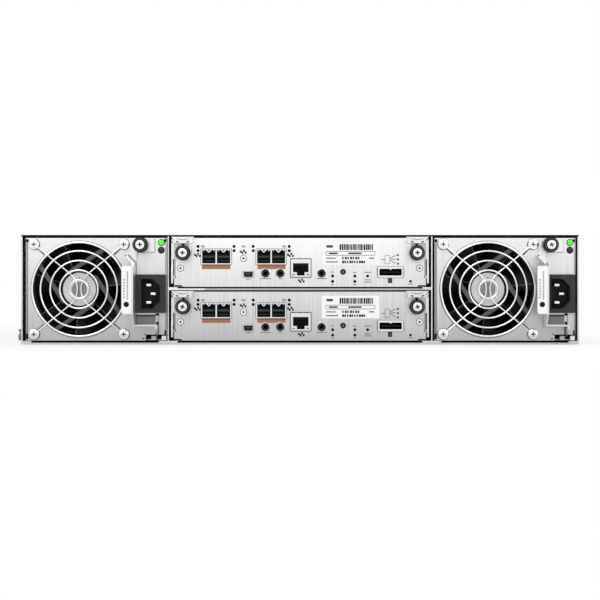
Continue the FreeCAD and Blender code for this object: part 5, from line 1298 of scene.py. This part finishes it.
DISKS, BAYS = 6, 12
for bay in range(1, DISKS + 1):
    carrier, lever = f"disk_carrier_{bay}", f"carrier_lever_{bay}"
    dress(carrier, CARRIER, 0.35)
    dress(lever, LEVER, 0.5)
    low, high = (np.array(corner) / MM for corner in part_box(carrier))
    trim = carrier_trim(*spot(carrier, y="high"), high[2] - low[2])
    piece(f"carrier_lamps_{bay}", f"carrier_{bay}", trim)
    low, high = (np.array(corner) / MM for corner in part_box(lever))
    piece(f"lever_button_{bay}", f"lever_{bay}", lever_trim(low, high))
for bay in range(DISKS + 1, BAYS + 1):
    dress(f"drive_blank_{bay}", BLANK, 0.4)
print("drive side pieces:", made[-12:])

# %% [markdown]
# ## Floor
# A pale plane takes the shadow. Far from the shelf it fades to white for the camera
# alone, so no horizon shows, and the light it throws back stays natural.

# %% Floor
def floor():
    """A wide pale plane just under the shelf, whose far parts the camera sees as white."""
    mesh = bpy.data.meshes.new("floor")
    half, under = 8, -0.0004
    near, white = 0.45, 0.9
    corners = [(-half, -half), (half, -half), (half, half), (-half, half)]
    mesh.from_pydata([(*corner, under) for corner in corners], [], [(0, 1, 2, 3)])
    item = bpy.data.objects.new("floor", mesh)
    bpy.context.scene.collection.objects.link(item)
    material, tree, shader = new_material("pale_floor")
    fill(tree, shader, Base_Color=colour(0.92), Roughness=0.9, Specular_IOR_Level=0.1)
    place = add_node(tree, "TexCoord")
    far = add_node(tree, "VectorMath", place.outputs["Object"], operation="LENGTH")
    fade = add_node(tree, "MapRange", Value=far.outputs["Value"], From_Min=near,
                    From_Max=white, To_Min=0.55)
    seen = add_node(tree, "LightPath").outputs["Is Camera Ray"]
    share = add_node(tree, "Math", seen, fade.outputs["Result"], operation="MULTIPLY")
    glow = add_node(tree, "Emission", Strength=1.0)
    mix = add_node(tree, "MixShader", share.outputs[0], shader.outputs[0], glow.outputs[0])
    fill(tree, tree.nodes["Material Output"], Surface=mix.outputs[0])
    mesh.materials.append(material)
    return item


floor()
print("floor laid")

# %% [markdown]
# ## Background and lamps
# The background is white to the camera and in reflections, and a soft grey light for
# the rest, so bright metal has something white to mirror without being washed out. One
# large lamp from above the camera models the shape, a weaker one fills the other side,
# and one lights the drives.

# %% Background and lamps
def sky():
    """White to the camera and in reflections, and a plain grey light for everything else."""
    world = bpy.data.worlds.new("studio")
    bpy.context.scene.world = world
    world.use_nodes = True
    tree = world.node_tree
    plain = fill(tree, tree.nodes["Background"], Color=colour(1.0), Strength=0.5)
    seen = add_node(tree, "Background", Color=colour(1.0))
    rays = add_node(tree, "LightPath").outputs
    total = 0.0
    for label in ("Is Camera Ray", "Is Glossy Ray", "Is Transmission Ray"):
        total = add_node(tree, "Math", rays[label], total, operation="MAXIMUM").outputs[0]
    mix = add_node(tree, "MixShader", total, plain.outputs[0], seen.outputs[0])
    fill(tree, tree.nodes["World Output"], Surface=mix.outputs[0])


def lamp(name, place, size, power):
    """A square soft lamp that faces the middle of the shelf."""
    data = bpy.data.lights.new(name, "AREA")
    data.size = size
    data.energy = power
    item = bpy.data.objects.new(name, data)
    item.location = place
    from_lamp = -item.location.normalized()
    item.rotation_euler = from_lamp.to_track_quat("-Z", "Y").to_euler()
    bpy.context.scene.collection.objects.link(item)


sky()
lamp("key", (-0.7, -1.5, 1.5), 1.4, 20)
lamp("fill", (1.2, -1.2, 0.9), 1.2, 8)
lamp("far_side", (0.5, 1.7, 1.3), 2.4, 22)
print("lamps:", len(bpy.data.lights))

# %% [markdown]
# ## Sizes
# The number of pieces made here and of their faces.

# %% Sizes
print("pieces:", len(made), "faces:", sum(count for _, count in made))
